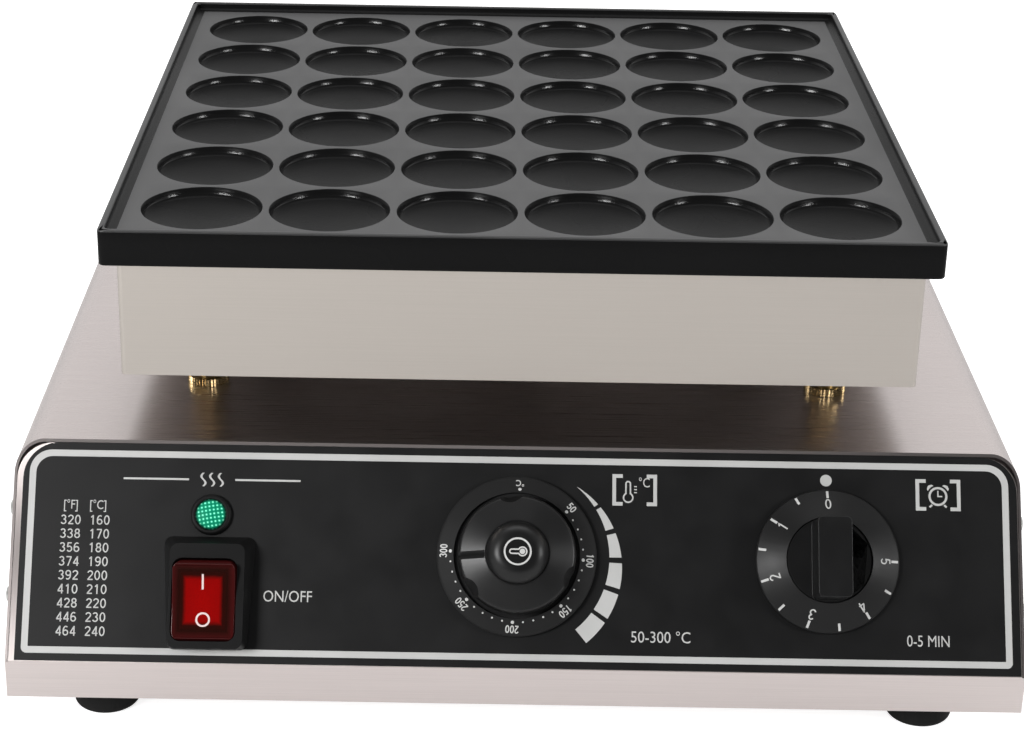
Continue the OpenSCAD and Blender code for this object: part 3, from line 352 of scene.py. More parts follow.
def numerals(text, height, matrix, squeeze, line=0.45):
    """A number of the given height, drawn with a line of one width and centred on the matrix."""
    step = NUMERAL_STEP * height * squeeze
    start = -(step * (len(text) - 1) + NUMERAL_W * height * squeeze) / 2
    layers = [[], [], []]
    for k, sign in enumerate(text):
        for layer, (points, closed) in zip(layers, NUMERALS[sign]):
            placed = [(start + k * step + x * height * squeeze, (y - 0.5) * height) for x, y in points]
            layer += thick(placed, line, closed)
    return [ink(layer, matrix) for layer in layers if layer]


# Small helpers for materials


def feed(tree, value, socket):
    """Sets a socket to a number, or links it to another node's output."""
    if isinstance(value, (int, float)):
        socket.default_value = value
    else:
        tree.links.new(value, socket)


def math_node(tree, operation, *values):
    node = tree.nodes.new("ShaderNodeMath")
    node.operation = operation
    for value, socket in zip(values, node.inputs):
        feed(tree, value, socket)
    return node.outputs[0]


def weighted(tree, a, share_a, b, share_b):
    """The sum of two values, each times its share."""
    first = math_node(tree, "MULTIPLY", a, share_a)
    second = math_node(tree, "MULTIPLY", b, share_b)
    return math_node(tree, "ADD", first, second)


def switched(tree, switch, off, on):
    """The value off where switch is 0, and on where it is 1."""
    return weighted(tree, off, math_node(tree, "SUBTRACT", 1.0, switch), on, switch)


def object_place(tree):
    return tree.nodes.new("ShaderNodeTexCoord").outputs["Object"]


def noise(tree, vector, scale, detail=3.0, rough=0.55):
    node = tree.nodes.new("ShaderNodeTexNoise")
    node.inputs["Scale"].default_value = scale
    node.inputs["Detail"].default_value = detail
    node.inputs["Roughness"].default_value = rough
    tree.links.new(vector, node.inputs["Vector"])
    return node.outputs["Fac"]


def mapped(tree, vector, scale=(1, 1, 1), turn=(0, 0, 0)):
    node = tree.nodes.new("ShaderNodeMapping")
    node.inputs["Scale"].default_value = scale
    node.inputs["Rotation"].default_value = turn
    tree.links.new(vector, node.inputs["Vector"])
    return node.outputs["Vector"]


def mix_color(tree, factor, a, b, blend="MIX"):
    node = tree.nodes.new("ShaderNodeMix")
    node.data_type = "RGBA"
    node.blend_type = blend
    feed(tree, factor, node.inputs[0])
    tree.links.new(a, node.inputs[6])
    tree.links.new(b, node.inputs[7])
    return node.outputs[2]


NOISE_LOW = 0.3
NOISE_HIGH = 0.7


def spread(tree, value, low, high):
    """Maps the range that a noise mostly has onto low to high."""
    node = tree.nodes.new("ShaderNodeMapRange")
    node.inputs["From Min"].default_value = NOISE_LOW
    node.inputs["From Max"].default_value = NOISE_HIGH
    tree.links.new(value, node.inputs["Value"])
    tree.links.new(low, node.inputs["To Min"])
    tree.links.new(high, node.inputs["To Max"])
    return node.outputs["Result"]


def ramp(tree, value, stops):
    node = tree.nodes.new("ShaderNodeValToRGB")
    while len(node.color_ramp.elements) < len(stops):
        node.color_ramp.elements.new(0.5)
    for element, (position, color) in zip(node.color_ramp.elements, stops):
        element.position = position
        element.color = (*color, 1)
    tree.links.new(value, node.inputs["Fac"])
    return node.outputs["Color"]


# Material groups, with the scales of their grain in waves per metre

FINISH_INPUTS = [
    ("Dark", "NodeSocketColor"),
    ("Light", "NodeSocketColor"),
    ("Smooth", "NodeSocketFloat"),
    ("Rough", "NodeSocketFloat"),
]
FINISH_OUTPUTS = [
    ("Color", "NodeSocketColor"),
    ("Roughness", "NodeSocketFloat"),
    ("Height", "NodeSocketFloat"),
]
SCRATCH_ALONG_X = (14, 2600, 2600)
SCRATCH_ALONG_Y = (2600, 5, 2600)
STEEL_CLOUD = (5, 9, 9)
SIDE_FACING = 0.75
SLOPE_FACING = 0.97
COAT_PEEL = 1400.0
COAT_SPECK = 4200.0
COAT_CLOUD = 16.0
SKIN_GRAIN = 2600.0
SKIN_CLOUD = 60.0


def start_group(name):
    """A new group with the sockets that every finish has."""
    tree = bpy.data.node_groups.new(name, "ShaderNodeTree")
    for label, kind in FINISH_INPUTS:
        tree.interface.new_socket(label, in_out="INPUT", socket_type=kind)
    for label, kind in FINISH_OUTPUTS:
        tree.interface.new_socket(label, in_out="OUTPUT", socket_type=kind)
    return tree


def end_group(tree, shade, gloss, height):
    """Mixes the two colours by shade and the two roughnesses by gloss, and puts out the height."""
    start = tree.nodes.new("NodeGroupInput").outputs
    end = tree.nodes.new("NodeGroupOutput").inputs
    tree.links.new(mix_color(tree, shade, start["Dark"], start["Light"]), end["Color"])
    tree.links.new(spread(tree, gloss, start["Smooth"], start["Rough"]), end["Roughness"])
    tree.links.new(height, end["Height"])
    return tree


def brushed_group():
    """Fine level scratches: along X, along Y on faces that look to the side, none on the panel's slope."""
    tree = start_group("brushed_grain")
    spot = object_place(tree)
    normal = tree.nodes.new("ShaderNodeNewGeometry").outputs["Normal"]
    split = tree.nodes.new("ShaderNodeSeparateXYZ")
    tree.links.new(normal, split.inputs[0])
    side = math_node(tree, "GREATER_THAN", math_node(tree, "ABSOLUTE", split.outputs[0]), SIDE_FACING)
    facing = tree.nodes.new("ShaderNodeVectorMath")
    facing.operation = "DOT_PRODUCT"
    facing.inputs[1].default_value = PANEL_NORMAL
    tree.links.new(normal, facing.inputs[0])
    slope = math_node(tree, "GREATER_THAN", facing.outputs["Value"], SLOPE_FACING)
    along_x = noise(tree, mapped(tree, spot, SCRATCH_ALONG_X), 1.0, 4.0, 0.7)
    along_y = noise(tree, mapped(tree, spot, SCRATCH_ALONG_Y), 1.0, 4.0, 0.7)
    lines = switched(tree, slope, switched(tree, side, along_x, along_y), 0.5)
    cloud = noise(tree, mapped(tree, spot, STEEL_CLOUD), 1.0, 2.0)
    return end_group(tree, weighted(tree, lines, 0.75, cloud, 0.25), lines, lines)


def coat_group():
    """A sprayed coat: fine orange peel with a slow cloud in it."""
    tree = start_group("sprayed_coat")
    spot = object_place(tree)
    peel = noise(tree, spot, COAT_PEEL, 2.0)
    speck = noise(tree, spot, COAT_SPECK, 1.0)
    cloud = noise(tree, spot, COAT_CLOUD, 2.0)
    return end_group(tree, weighted(tree, speck, 0.5, cloud, 0.5), cloud, peel)


def moulded_group():
    """Moulded plastic or rubber: a fine spark-eroded skin and soft changes of gloss."""
    tree = start_group("moulded_skin")
    spot = object_place(tree)
    skin = noise(tree, spot, SKIN_GRAIN, 2.0)
    cloud = noise(tree, spot, SKIN_CLOUD, 2.0)
    return end_group(tree, cloud, cloud, skin)


BRUSHED = brushed_group()
COAT = coat_group()
MOULDED = moulded_group()


# Materials made from the groups

BUMP_HEIGHT = 0.0002


def new_material(name):
    """A new material with its node tree and its Principled shader."""
    material = bpy.data.materials.new(name)
    material.use_nodes = True
    tree = material.node_tree
    return material, tree, tree.nodes["Principled BSDF"]


def finish_material(name, group, dark, light, smooth_r, rough_r, bump, **constants):
    """A Principled material whose colour, roughness and bump come from one of the groups."""
    material, tree, shader = new_material(name)
    finish = tree.nodes.new("ShaderNodeGroup")
    finish.node_tree = group
    finish.inputs["Dark"].default_value = (*dark, 1)
    finish.inputs["Light"].default_value = (*light, 1)
    finish.inputs["Smooth"].default_value = smooth_r
    finish.inputs["Rough"].default_value = rough_r
    tree.links.new(finish.outputs["Color"], shader.inputs["Base Color"])
    tree.links.new(finish.outputs["Roughness"], shader.inputs["Roughness"])
    bump_node = tree.nodes.new("ShaderNodeBump")
    bump_node.inputs["Strength"].default_value = bump
    bump_node.inputs["Distance"].default_value = BUMP_HEIGHT
    tree.links.new(finish.outputs["Height"], bump_node.inputs["Height"])
    tree.links.new(bump_node.outputs["Normal"], shader.inputs["Normal"])
    for label, value in constants.items():
        shader.inputs[label.replace("_", " ")].default_value = value
    return material


STEEL = finish_material("brushed_steel", BRUSHED, (0.505, 0.452, 0.441), (0.685, 0.62, 0.605),
                        0.23, 0.35, 0.035, Metallic=1.0, Anisotropic=0.5)
PANEL_STEEL = finish_material("panel_steel", BRUSHED, (0.58, 0.52, 0.505), (0.8, 0.725, 0.705),
                              0.28, 0.4, 0.05, Metallic=1.0, Anisotropic=0.5)
BOX_STEEL = finish_material("box_steel", BRUSHED, (0.428, 0.393, 0.36), (0.545, 0.503, 0.462),
                            0.3, 0.42, 0.05, Metallic=1.0, Anisotropic=0.5)
# The plate has one dark coat. The lands, the moulds' lips and the rim's top get lighter copies of it as
# painted sheen, and the fillet at the rim's foot keeps the dark coat as a painted shade band. The corner
# coat is the dark coat made glossier.
LAND_SHEEN_COAT = finish_material("land_coat_painted_sheen", COAT, (0.056, 0.056, 0.057), (0.074, 0.074, 0.075),
                            0.48, 0.6, 0.1, Specular_IOR_Level=0.4)
DARK_COAT_AND_SHADE = finish_material("dark_coat_and_painted_shade", COAT, (0.006, 0.006, 0.0061), (0.0098, 0.0098, 0.01),
                             0.24, 0.32, 0.35, Specular_IOR_Level=0.04)
CORNER_COAT = finish_material("corner_coat", COAT, (0.006, 0.006, 0.0061), (0.01, 0.01, 0.0102),
                              0.13, 0.19, 0.3, Specular_IOR_Level=0.28)
RIM_SHEEN_COAT = finish_material("rim_coat_painted_sheen", COAT, (0.03, 0.03, 0.0304), (0.042, 0.042, 0.0425),
                           0.35, 0.45, 0.2, Specular_IOR_Level=0.3)
FILM = finish_material("panel_film", MOULDED, (0.0052, 0.0052, 0.0054), (0.0075, 0.0075, 0.0078),
                       0.42, 0.5, 0.06, Specular_IOR_Level=0.3)
SWITCH_BLACK = finish_material("switch_black", MOULDED, (0.003, 0.003, 0.0031), (0.0055, 0.0055, 0.0056),
                               0.42, 0.55, 0.1, Specular_IOR_Level=0.2)
KNOB_GLOSS = finish_material("knob_gloss", MOULDED, (0.005, 0.005, 0.0052), (0.008, 0.008, 0.0082),
                             0.32, 0.4, 0.03, Specular_IOR_Level=0.34)
KNOB_SATIN = finish_material("knob_satin", MOULDED, (0.0065, 0.0065, 0.0067), (0.01, 0.01, 0.0102),
                             0.36, 0.46, 0.08, Specular_IOR_Level=0.22)
DIAL_MATT = finish_material("dial_matt", MOULDED, (0.012, 0.012, 0.0122), (0.017, 0.017, 0.0172),
                            0.5, 0.6, 0.08, Specular_IOR_Level=0.15)
DRUM_BLACK = finish_material("drum_black", MOULDED, (0.004, 0.004, 0.0042), (0.007, 0.007, 0.0072),
                             0.4, 0.5, 0.08, Specular_IOR_Level=0.3)
RUBBER = finish_material("foot_rubber", MOULDED, (0.007, 0.007, 0.007), (0.014, 0.014, 0.014),
                         0.6, 0.75, 0.25, Specular_IOR_Level=0.2)
BRASS = finish_material("turned_brass", BRUSHED, (0.235, 0.175, 0.09), (0.47, 0.375, 0.2),
                        0.22, 0.34, 0.04, Metallic=1.0)
ZINC = finish_material("zinc_plate", COAT, (0.5, 0.5, 0.49), (0.62, 0.62, 0.6),
                       0.25, 0.38, 0.05, Metallic=1.0)
SHEATH = finish_material("element_sheath", COAT, (0.16, 0.14, 0.13), (0.26, 0.24, 0.22),
                         0.4, 0.55, 0.1, Metallic=1.0)
FIBRE = finish_material("ceramic_fibre", MOULDED, (0.66, 0.62, 0.52), (0.82, 0.78, 0.68),
                        0.85, 0.95, 0.5)
COPPER = finish_material("drawn_copper", COAT, (0.5, 0.25, 0.14), (0.66, 0.36, 0.22),
                         0.25, 0.35, 0.04, Metallic=1.0)
CREAM = finish_material("cream_plastic", MOULDED, (0.68, 0.63, 0.52), (0.78, 0.73, 0.62),
                        0.45, 0.55, 0.1)
SLEEVE = finish_material("wire_sleeve", MOULDED, (0.42, 0.38, 0.3), (0.6, 0.55, 0.45),
                         0.7, 0.85, 0.4)
INK = finish_material("print_ink", MOULDED, (0.5, 0.5, 0.49), (0.59, 0.59, 0.58),
                      0.45, 0.55, 0.05)
SIGN_INK = finish_material("sign_ink", MOULDED, (0.78, 0.6, 0.58), (0.88, 0.7, 0.68),
                           0.4, 0.5, 0.05)
WHITE_INK = finish_material("white_ink", MOULDED, (0.56, 0.56, 0.55), (0.64, 0.64, 0.63),
                            0.45, 0.55, 0.05)


# Clear plastics of the rocker and the lamp, in millimetres on the panel

ROCKER_GLOW_X = ROCKER_X - 0.2
ROCKER_GLOW_UP = ROCKER_MID - 0.4
ROCKER_GLOW_W = 6.7
ROCKER_GLOW_L = 8.3
ROCKER_CLOUD = 300.0
ROCKER_STOPS = [
    (0.0, (0.25, 0.001, 0.0008)),
    (0.44, (0.21, 0.001, 0.0008)),
    (0.54, (0.02, 0.002, 0.0012)),
    (0.66, (0.014, 0.0025, 0.0015)),
    (0.8, (0.04, 0.004, 0.004)),
]
BEAD_PITCH = 1.42
BEAD_TURN = radians(-10)
BEAD_STOPS = [
    (0.0, (0.42, 1.0, 0.75)),
    (0.17, (0.16, 0.82, 0.52)),
    (0.31, (0.004, 0.28, 0.15)),
    (0.7, (0.0, 0.13, 0.065)),
]
# Beyond about this radius the lens's colour is darkened as painted shade round its edge.
LENS_BRIGHT_R = 5.05
LENS_EDGE_SHADE_STOPS = [(0.0, (1, 1, 1)), (0.46, (1, 1, 1)), (0.54, (0.08, 0.08, 0.08))]


def panel_coordinates(tree, x, up):
    """Object coordinates turned into the panel's own frame, in millimetres about a point of it."""
    moved = tree.nodes.new("ShaderNodeVectorMath")
    moved.operation = "SUBTRACT"
    moved.inputs[1].default_value = on_panel(x, up).translation
    tree.links.new(object_place(tree), moved.inputs[0])
    scale = tree.nodes.new("ShaderNodeVectorMath")
    scale.operation = "SCALE"
    scale.inputs["Scale"].default_value = 1 / MM
    tree.links.new(mapped(tree, moved.outputs[0], turn=(PANEL_LEAN - pi / 2, 0, 0)), scale.inputs[0])
    split = tree.nodes.new("ShaderNodeSeparateXYZ")
    tree.links.new(scale.outputs[0], split.inputs[0])
    return split.outputs


def rocker_color(tree):
    """Deep red, with a lit rectangle that shows through the middle."""
    x, up, _ = panel_coordinates(tree, ROCKER_GLOW_X, ROCKER_GLOW_UP)
    across = math_node(tree, "DIVIDE", math_node(tree, "ABSOLUTE", x), ROCKER_GLOW_W)
    along = math_node(tree, "DIVIDE", math_node(tree, "ABSOLUTE", up), ROCKER_GLOW_L)
    far = math_node(tree, "MAXIMUM", across, along)
    cloud = noise(tree, object_place(tree), ROCKER_CLOUD)
    sway = math_node(tree, "SUBTRACT", cloud, 0.5)
    return ramp(tree, weighted(tree, far, 0.5, sway, 0.04), ROCKER_STOPS)


def lens_color(tree):
    """Clear green with rows of small beads that catch the light, and painted shade round its edge."""
    x, up, _ = panel_coordinates(tree, -CONTROL_X, LAMP_UP)
    flat = tree.nodes.new("ShaderNodeCombineXYZ")
    tree.links.new(x, flat.inputs[0])
    tree.links.new(up, flat.inputs[1])
    beads = tree.nodes.new("ShaderNodeTexVoronoi")
    beads.voronoi_dimensions = "2D"
    beads.inputs["Scale"].default_value = 1 / BEAD_PITCH
    beads.inputs["Randomness"].default_value = 0.0
    tree.links.new(mapped(tree, flat.outputs[0], turn=(0, 0, BEAD_TURN)), beads.inputs["Vector"])
    bead = ramp(tree, beads.outputs["Distance"], BEAD_STOPS)
    reach = tree.nodes.new("ShaderNodeVectorMath")
    reach.operation = "LENGTH"
    tree.links.new(flat.outputs[0], reach.inputs[0])
    share = math_node(tree, "DIVIDE", reach.outputs["Value"], 2 * LENS_BRIGHT_R)
    return mix_color(tree, 1.0, bead, ramp(tree, share, LENS_EDGE_SHADE_STOPS), "MULTIPLY")


def glow_material(name, color_builder, glow, roughness, gloss):
    """A clear coloured plastic that also glows a little in its own colours."""
    material, tree, shader = new_material(name)
    color = color_builder(tree)
    tree.links.new(color, shader.inputs["Base Color"])
    tree.links.new(color, shader.inputs["Emission Color"])
    shader.inputs["Emission Strength"].default_value = glow
    shader.inputs["Roughness"].default_value = roughness
    shader.inputs["Specular IOR Level"].default_value = gloss
    return material


RED = glow_material("red_rocker", rocker_color, 0.2, 0.16, 0.25)
GREEN = glow_material("green_lens", lens_color, 0.3, 0.4, 0.05)


# The nodes that keep their own shape

SLOT_MATERIAL = {
    "cast_nonstick": DARK_COAT_AND_SHADE,
    "brushed_steel": STEEL,
    "panel_film": FILM,
    "black_plastic": SWITCH_BLACK,
    "knob_plastic": KNOB_SATIN,
    "red_lens": RED,
    "green_lens": GREEN,
    "brass": BRASS,
    "rubber": RUBBER,
    "zinc_steel": ZINC,
    "element_sheath": SHEATH,
    "ceramic_fibre": FIBRE,
    "copper": COPPER,
    "cream_plastic": CREAM,
    "wire_sleeve": SLEEVE,
}
for subpart in frame["record"]["subparts"]:
    mesh = nodes[subpart["node"]].data
    mesh.materials.clear()
    mesh.materials.append(SLOT_MATERIAL[subpart["material_slot"]])
    smooth(nodes[subpart["node"]], 30)
for name, material in (("heater_box", BOX_STEEL), ("front_panel", PANEL_STEEL), ("timer_grip", DRUM_BLACK)):
    nodes[name].data.materials[0] = material


# Baking plate: one cell with its mould, copied over the plate, then the lands and the rim. Each step of
# a lip, fillet or edge is its distance from the face that it leads to, and its height or drop.

FIELD_HALF = MOULDS * PITCH / 2
MOUTH_R = 22.5
MOULD_LIP = [(0.45, 0.0), (0.2, -0.06), (0.0, -0.3)]
MOULD_DEPTH = 5.6
DISH_R = 100.0
DISH_RINGS = (17.5, 14.0, 10.0, 6.0, 2.5)
FOOT_R = 22.0
FOOT_DRAFT = 0.02
CORNER_R = 2.0
CORNER_STEPS = 5
PLATE_HALF = 153.5
PLATE_T = 10.5
PLATE_CORNER_R = 2.2
RIM_INNER = 151.0
RIM_H = 3.3
RIM_FILLET = [(3.4, 0.0), (2.0, 0.2), (0.95, 0.75), (0.25, 1.55), (0.0, 2.45)]
SMALL_EDGE = [(0.0, 0.6), (0.2, 0.15), (0.6, 0.0)]
RIM_OUTER_EDGE = [(0.7, 0.0), (0.2, 0.2), (0.0, 0.7)]
# Faces within LAND_BAND of the land's height get the lands' painted sheen, faces within RIM_BAND of the
# rim's top get the rim's painted sheen, and the fillet between keeps the dark coat as painted shade.
LAND_TILT = 0.5
LAND_BAND = 0.08
RIM_BAND = 0.5
GLINT_TILT = 0.62
GLINT_DEPTH = 0.6
LAND_SHEEN_INDEX = 1
RIM_SHEEN_INDEX = 2
CORNER_INDEX = 3


def mould_rings():
    """Radius and height of each ring of a mould, from the land to its middle."""
    rings = [(MOUTH_R + out, height) for out, height in MOULD_LIP]
    corner_x = FOOT_R - CORNER_R
    corner_z = DISH_R - MOULD_DEPTH - sqrt((DISH_R - CORNER_R) ** 2 - corner_x**2)
    rings.append((FOOT_R + FOOT_DRAFT, corner_z))
    lean = degrees(asin(corner_x / (DISH_R - CORNER_R)))
    for k in range(1, CORNER_STEPS + 1):
        a = radians((90 - lean) * k / CORNER_STEPS)
        rings.append((corner_x + CORNER_R * cos(a), corner_z - CORNER_R * sin(a)))
    for r in DISH_RINGS:
        rings.append((r, DISH_R - MOULD_DEPTH - sqrt(DISH_R**2 - r * r)))
    return rings


def step_ring(scale, rise):
    """Extrudes the selected ring of edges to its next size and height."""
    bpy.ops.mesh.extrude_region_move()
    bpy.ops.transform.resize(value=(scale, scale, 1), center_override=(0, 0, 0))
    bpy.ops.transform.translate(value=(0, 0, rise * MM))


def mould_cell():
    """A mould in a square piece of land as wide as the pitch."""
    rings = mould_rings()
    first = rings[0][0] * MM
    deselect()
    bpy.ops.mesh.primitive_circle_add(vertices=64, radius=first)
    obj = bpy.context.object
    bpy.ops.object.mode_set(mode="EDIT")
    bpy.ops.mesh.select_mode(type="EDGE")
    bpy.ops.mesh.select_all(action="SELECT")
    for (r0, z0), (r1, z1) in zip(rings, rings[1:]):
        step_ring(r1 / r0, z1 - z0)
    bpy.ops.mesh.edge_face_add()
    bpy.ops.mesh.select_all(action="DESELECT")
    bpy.ops.object.mode_set(mode="OBJECT")
    for edge in obj.data.edges:
        edge.select = all(abs(obj.data.vertices[i].co.xy.length - first) < 1e-6 for i in edge.vertices)
    bpy.ops.object.mode_set(mode="EDIT")
    bpy.ops.mesh.extrude_region_move()
    bpy.ops.object.mode_set(mode="OBJECT")
    half = PITCH / 2 * MM
    for vertex in obj.data.vertices:
        if vertex.select:
            reach = max(abs(vertex.co.x), abs(vertex.co.y))
            vertex.co.x *= half / reach
            vertex.co.y *= half / reach
    return obj


def mould_field():
    """All cells as one sheet, left in edit mode with its outer edge selected."""
    cell = mould_cell()
    cells = []
    middle = (MOULDS - 1) / 2
    for i in range(MOULDS):
        for j in range(MOULDS):
            copy = put_in_scene("cell", cell.data.copy())
            copy.location = ((i - middle) * PITCH * MM, (j - middle) * PITCH * MM, 0)
            cells.append(copy)
    bpy.data.objects.remove(cell)
    field = settle(join(cells, "plate_casting"))
    bpy.ops.object.mode_set(mode="EDIT")
    bpy.ops.mesh.select_mode(type="EDGE")
    bpy.ops.mesh.select_all(action="SELECT")
    bpy.ops.mesh.remove_doubles(threshold=2e-5)
    bpy.ops.mesh.select_all(action="DESELECT")
    bpy.ops.mesh.select_non_manifold(extend=False)
    return field


def rim_steps():
    """Half width and height of each step from the lands over the rim and down to the underside."""
    steps = [(RIM_INNER - back, height) for back, height in RIM_FILLET]
    steps += [(RIM_INNER + out, RIM_H - drop) for out, drop in SMALL_EDGE]
    steps += [(PLATE_HALF - back, RIM_H - drop) for back, drop in RIM_OUTER_EDGE]
    return steps + [(PLATE_HALF - back, rise - PLATE_T) for back, rise in SMALL_EDGE]


def coat_index(face):
    """The coat of a face of the plate: 0, the dark coat, in the moulds and elsewhere, which on the fillet
    at the rim's foot stands as painted shade; or the painted sheen of the lands and lips, or of the rim's
    top; or the glossier corners.
    """
    level = face.center.z / MM - LAND_Z
    spot = (face.center.x, face.center.y - PLATE_Y * MM)
    if face.normal.z > LAND_TILT and abs(level) < LAND_BAND:
        return LAND_SHEEN_INDEX
    if level > RIM_H - RIM_BAND:
        return RIM_SHEEN_INDEX
    aside = [(v / MM + FIELD_HALF) % PITCH - PITCH / 2 for v in spot]
    in_field = max(abs(v) for v in spot) < FIELD_HALF * MM
    in_mould = in_field and sqrt(aside[0] ** 2 + aside[1] ** 2) < FOOT_R + FOOT_DRAFT / 2
    if in_mould and level < -GLINT_DEPTH and face.normal.z < GLINT_TILT:
        return CORNER_INDEX
    return 0


def plate_casting():
    plate = mould_field()
    half = FIELD_HALF
    level = 0.0
    for reach, height in rim_steps():
        step_ring(reach / half, height - level)
        half = reach
        level = height
    bpy.ops.mesh.edge_face_add()
    bpy.ops.mesh.select_all(action="DESELECT")
    bpy.ops.object.mode_set(mode="OBJECT")
    for edge in plate.data.edges:
        ends = [plate.data.vertices[i].co for i in edge.vertices]
        corner = all(abs(abs(p.x) - abs(p.y)) < 1e-6 and abs(p.x) > (RIM_INNER - 0.1) * MM for p in ends)
        edge.select = corner and abs(ends[0].z - ends[1].z) > 1e-7
    bpy.ops.object.mode_set(mode="EDIT")
    bpy.ops.mesh.bevel(offset=PLATE_CORNER_R * MM, segments=5, clamp_overlap=True)
    bpy.ops.object.mode_set(mode="OBJECT")
    outward(plate)
    place(plate, Matrix.Translation((0, PLATE_Y * MM, LAND_Z * MM)))
    smooth(plate, 38)
    dress(plate, "plate_casting", DARK_COAT_AND_SHADE, "base", "cast_nonstick", "baking_plate")
    for coat in (LAND_SHEEN_COAT, RIM_SHEEN_COAT, CORNER_COAT):
        plate.data.materials.append(coat)
    for face in plate.data.polygons:
        face.material_index = coat_index(face)


plate_casting()


# Knob of the thermostat: the turned grip with its notches and groove, and the domed cap

GRIP_R = 21.5
GRIP_LOW = 4.9
GRIP_TOP = 15.5
GRIP_FOOT = [(1.6, 0.0), (1.6, 1.0), (0.2, 1.55), (0.0, 1.9)]
SIDE_R = GRIP_R - 0.35
SHOULDER = (20.1, 12.4)
SHOULDER_R = 1.5
SHOULDER_STEPS = 6
CONE_TOP_R = 11.8
CONE_RINGS = (17.5, 14.5, 11.9)
CONE_TILT = atan2(GRIP_TOP - SHOULDER[1], SHOULDER[0] - CONE_TOP_R)
WELL_EDGE_R = 11.7
WELL_R = 11.3
CAP_R = 11.2
CAP_H = 20.5
CAP_SEAT = 13.1
CAP_DOME_R = 6.0
CAP_DOME_END = radians(75)
CAP_DOME_STEPS = 9
CAP_EDGE = 0.3
WELL_FLOOR = CAP_SEAT - 0.1
BORE_R = 3.05
NOTCH_R = 7.0
NOTCH_L = 40.0
NOTCH_DEPTH = 1.7
NOTCH_DROP = 0.4
NOTCH_LEAN = radians(21)
NOTCH_TURNS = (97, 217, 337)
GROOVE_TURN = 183
GROOVE_DEPTH = 1.5
GROOVE_BAR = 4.0
GROOVE_L = 13.4
GROOVE_START_R = 11.9


def turned(rings, closed, vertices):
    """A round piece about Z from the radius and height of each ring; an open one gets its two ends."""
    deselect()
    r, height = rings[0]
    bpy.ops.mesh.primitive_circle_add(vertices=vertices, radius=r * MM, location=(0, 0, height * MM))
    obj = settle(bpy.context.object)
    bpy.ops.object.mode_set(mode="EDIT")
    bpy.ops.mesh.select_mode(type="EDGE")
    bpy.ops.mesh.select_all(action="SELECT")
    following = rings[1:] + rings[:1] if closed else rings[1:]
    for (r0, z0), (r1, z1) in zip(rings, following):
        step_ring(r1 / r0, z1 - z0)
    if not closed:
        bpy.ops.mesh.select_all(action="SELECT")
        bpy.ops.mesh.fill_holes(sides=0)
    bpy.ops.object.mode_set(mode="OBJECT")
    return outward(obj)


def cut(obj, tool):
    pick(obj)
    modifier = obj.modifiers.new("cut", "BOOLEAN")
    modifier.operation = "DIFFERENCE"
    modifier.solver = "EXACT"
    modifier.object = tool
    apply_all(obj)
    bpy.data.objects.remove(tool)


def cone_height(r):
    """Height of the grip's cone, or of its line carried on, at a radius."""
    return SHOULDER[1] + (SHOULDER[0] - r) * (GRIP_TOP - SHOULDER[1]) / (SHOULDER[0] - CONE_TOP_R)


def grip_rings():
    """Radius and height of the grip's outline: foot, side, shoulder, cone and the well for the cap."""
    rings = [(BORE_R, GRIP_LOW)]
    rings += [(GRIP_R - back, GRIP_LOW + height) for back, height in GRIP_FOOT]
    half_angle = pi / 4 + CONE_TILT / 2
    middle_z = cone_height(SIDE_R) - SHOULDER_R / sin(half_angle) * cos(half_angle)
    for k in range(SHOULDER_STEPS + 1):
        a = (pi / 2 - CONE_TILT) * k / SHOULDER_STEPS
        rings.append((SIDE_R - SHOULDER_R + SHOULDER_R * cos(a), middle_z + SHOULDER_R * sin(a)))
    rings += [(r, cone_height(r)) for r in CONE_RINGS]
    rings += [(WELL_EDGE_R, GRIP_TOP), (WELL_R, GRIP_TOP)]
    return rings + [(WELL_R, WELL_FLOOR), (BORE_R, WELL_FLOOR)]


def notch_tool(turn):
    """A leaning cylinder that takes a finger notch out of the shoulder."""
    deselect()
    bpy.ops.mesh.primitive_cylinder_add(vertices=96, radius=NOTCH_R * MM, depth=NOTCH_L * MM)
    spot = shift(SIDE_R + NOTCH_R - NOTCH_DEPTH, 0, SHOULDER[1] - NOTCH_DROP)
    return place(bpy.context.object, spin(radians(turn), "Z") @ spot @ spin(-NOTCH_LEAN, "Y"))


def groove_tool():
    """A square bar on its edge that cuts the pointer's groove along the cone."""
    deselect()
    bpy.ops.mesh.primitive_cube_add(size=MM)
    bar = bpy.context.object
    bar.scale = (GROOVE_L, GROOVE_BAR, GROOVE_BAR)
    settle(bar)
    lift = GROOVE_BAR / sqrt(2) - GROOVE_DEPTH
    reach = GROOVE_START_R + GROOVE_L / 2 * cos(CONE_TILT)
    level = GRIP_TOP - GROOVE_L / 2 * sin(CONE_TILT)
    spot = shift(reach + lift * sin(CONE_TILT), 0, level + lift * cos(CONE_TILT))
    return place(bar, spin(radians(GROOVE_TURN), "Z") @ spot @ spin(CONE_TILT, "Y") @ spin(pi / 4, "X"))


def temperature_knob():
    grip = turned(grip_rings(), True, 128)
    for turn in NOTCH_TURNS:
        cut(grip, notch_tool(turn))
    cut(grip, groove_tool())
    place(even_shading(grip, 32), on_panel(0, 0, FILM_T))
    dress(grip, "grip_moulding", KNOB_GLOSS, "temperature_knob", "knob_plastic", "temperature_grip")
    flat_r = CAP_R - CAP_DOME_R * sin(CAP_DOME_END)
    dome = [CAP_DOME_END * k / CAP_DOME_STEPS for k in range(CAP_DOME_STEPS + 1)]
    rings = [(flat_r + CAP_DOME_R * sin(a), CAP_H - CAP_DOME_R * (1 - cos(a))) for a in dome]
    cap = turned(rings + [(CAP_R, rings[-1][1] - CAP_EDGE), (CAP_R, CAP_SEAT)], False, 96)
    place(even_shading(cap, 50), on_panel(0, 0, FILM_T))
    dress(cap, "cap_moulding", KNOB_GLOSS, "temperature_knob", "knob_plastic", "temperature_cap")


temperature_knob()


# Controls with rounded edges: node, new name, width, steps and angle of the edges, material, body, slot

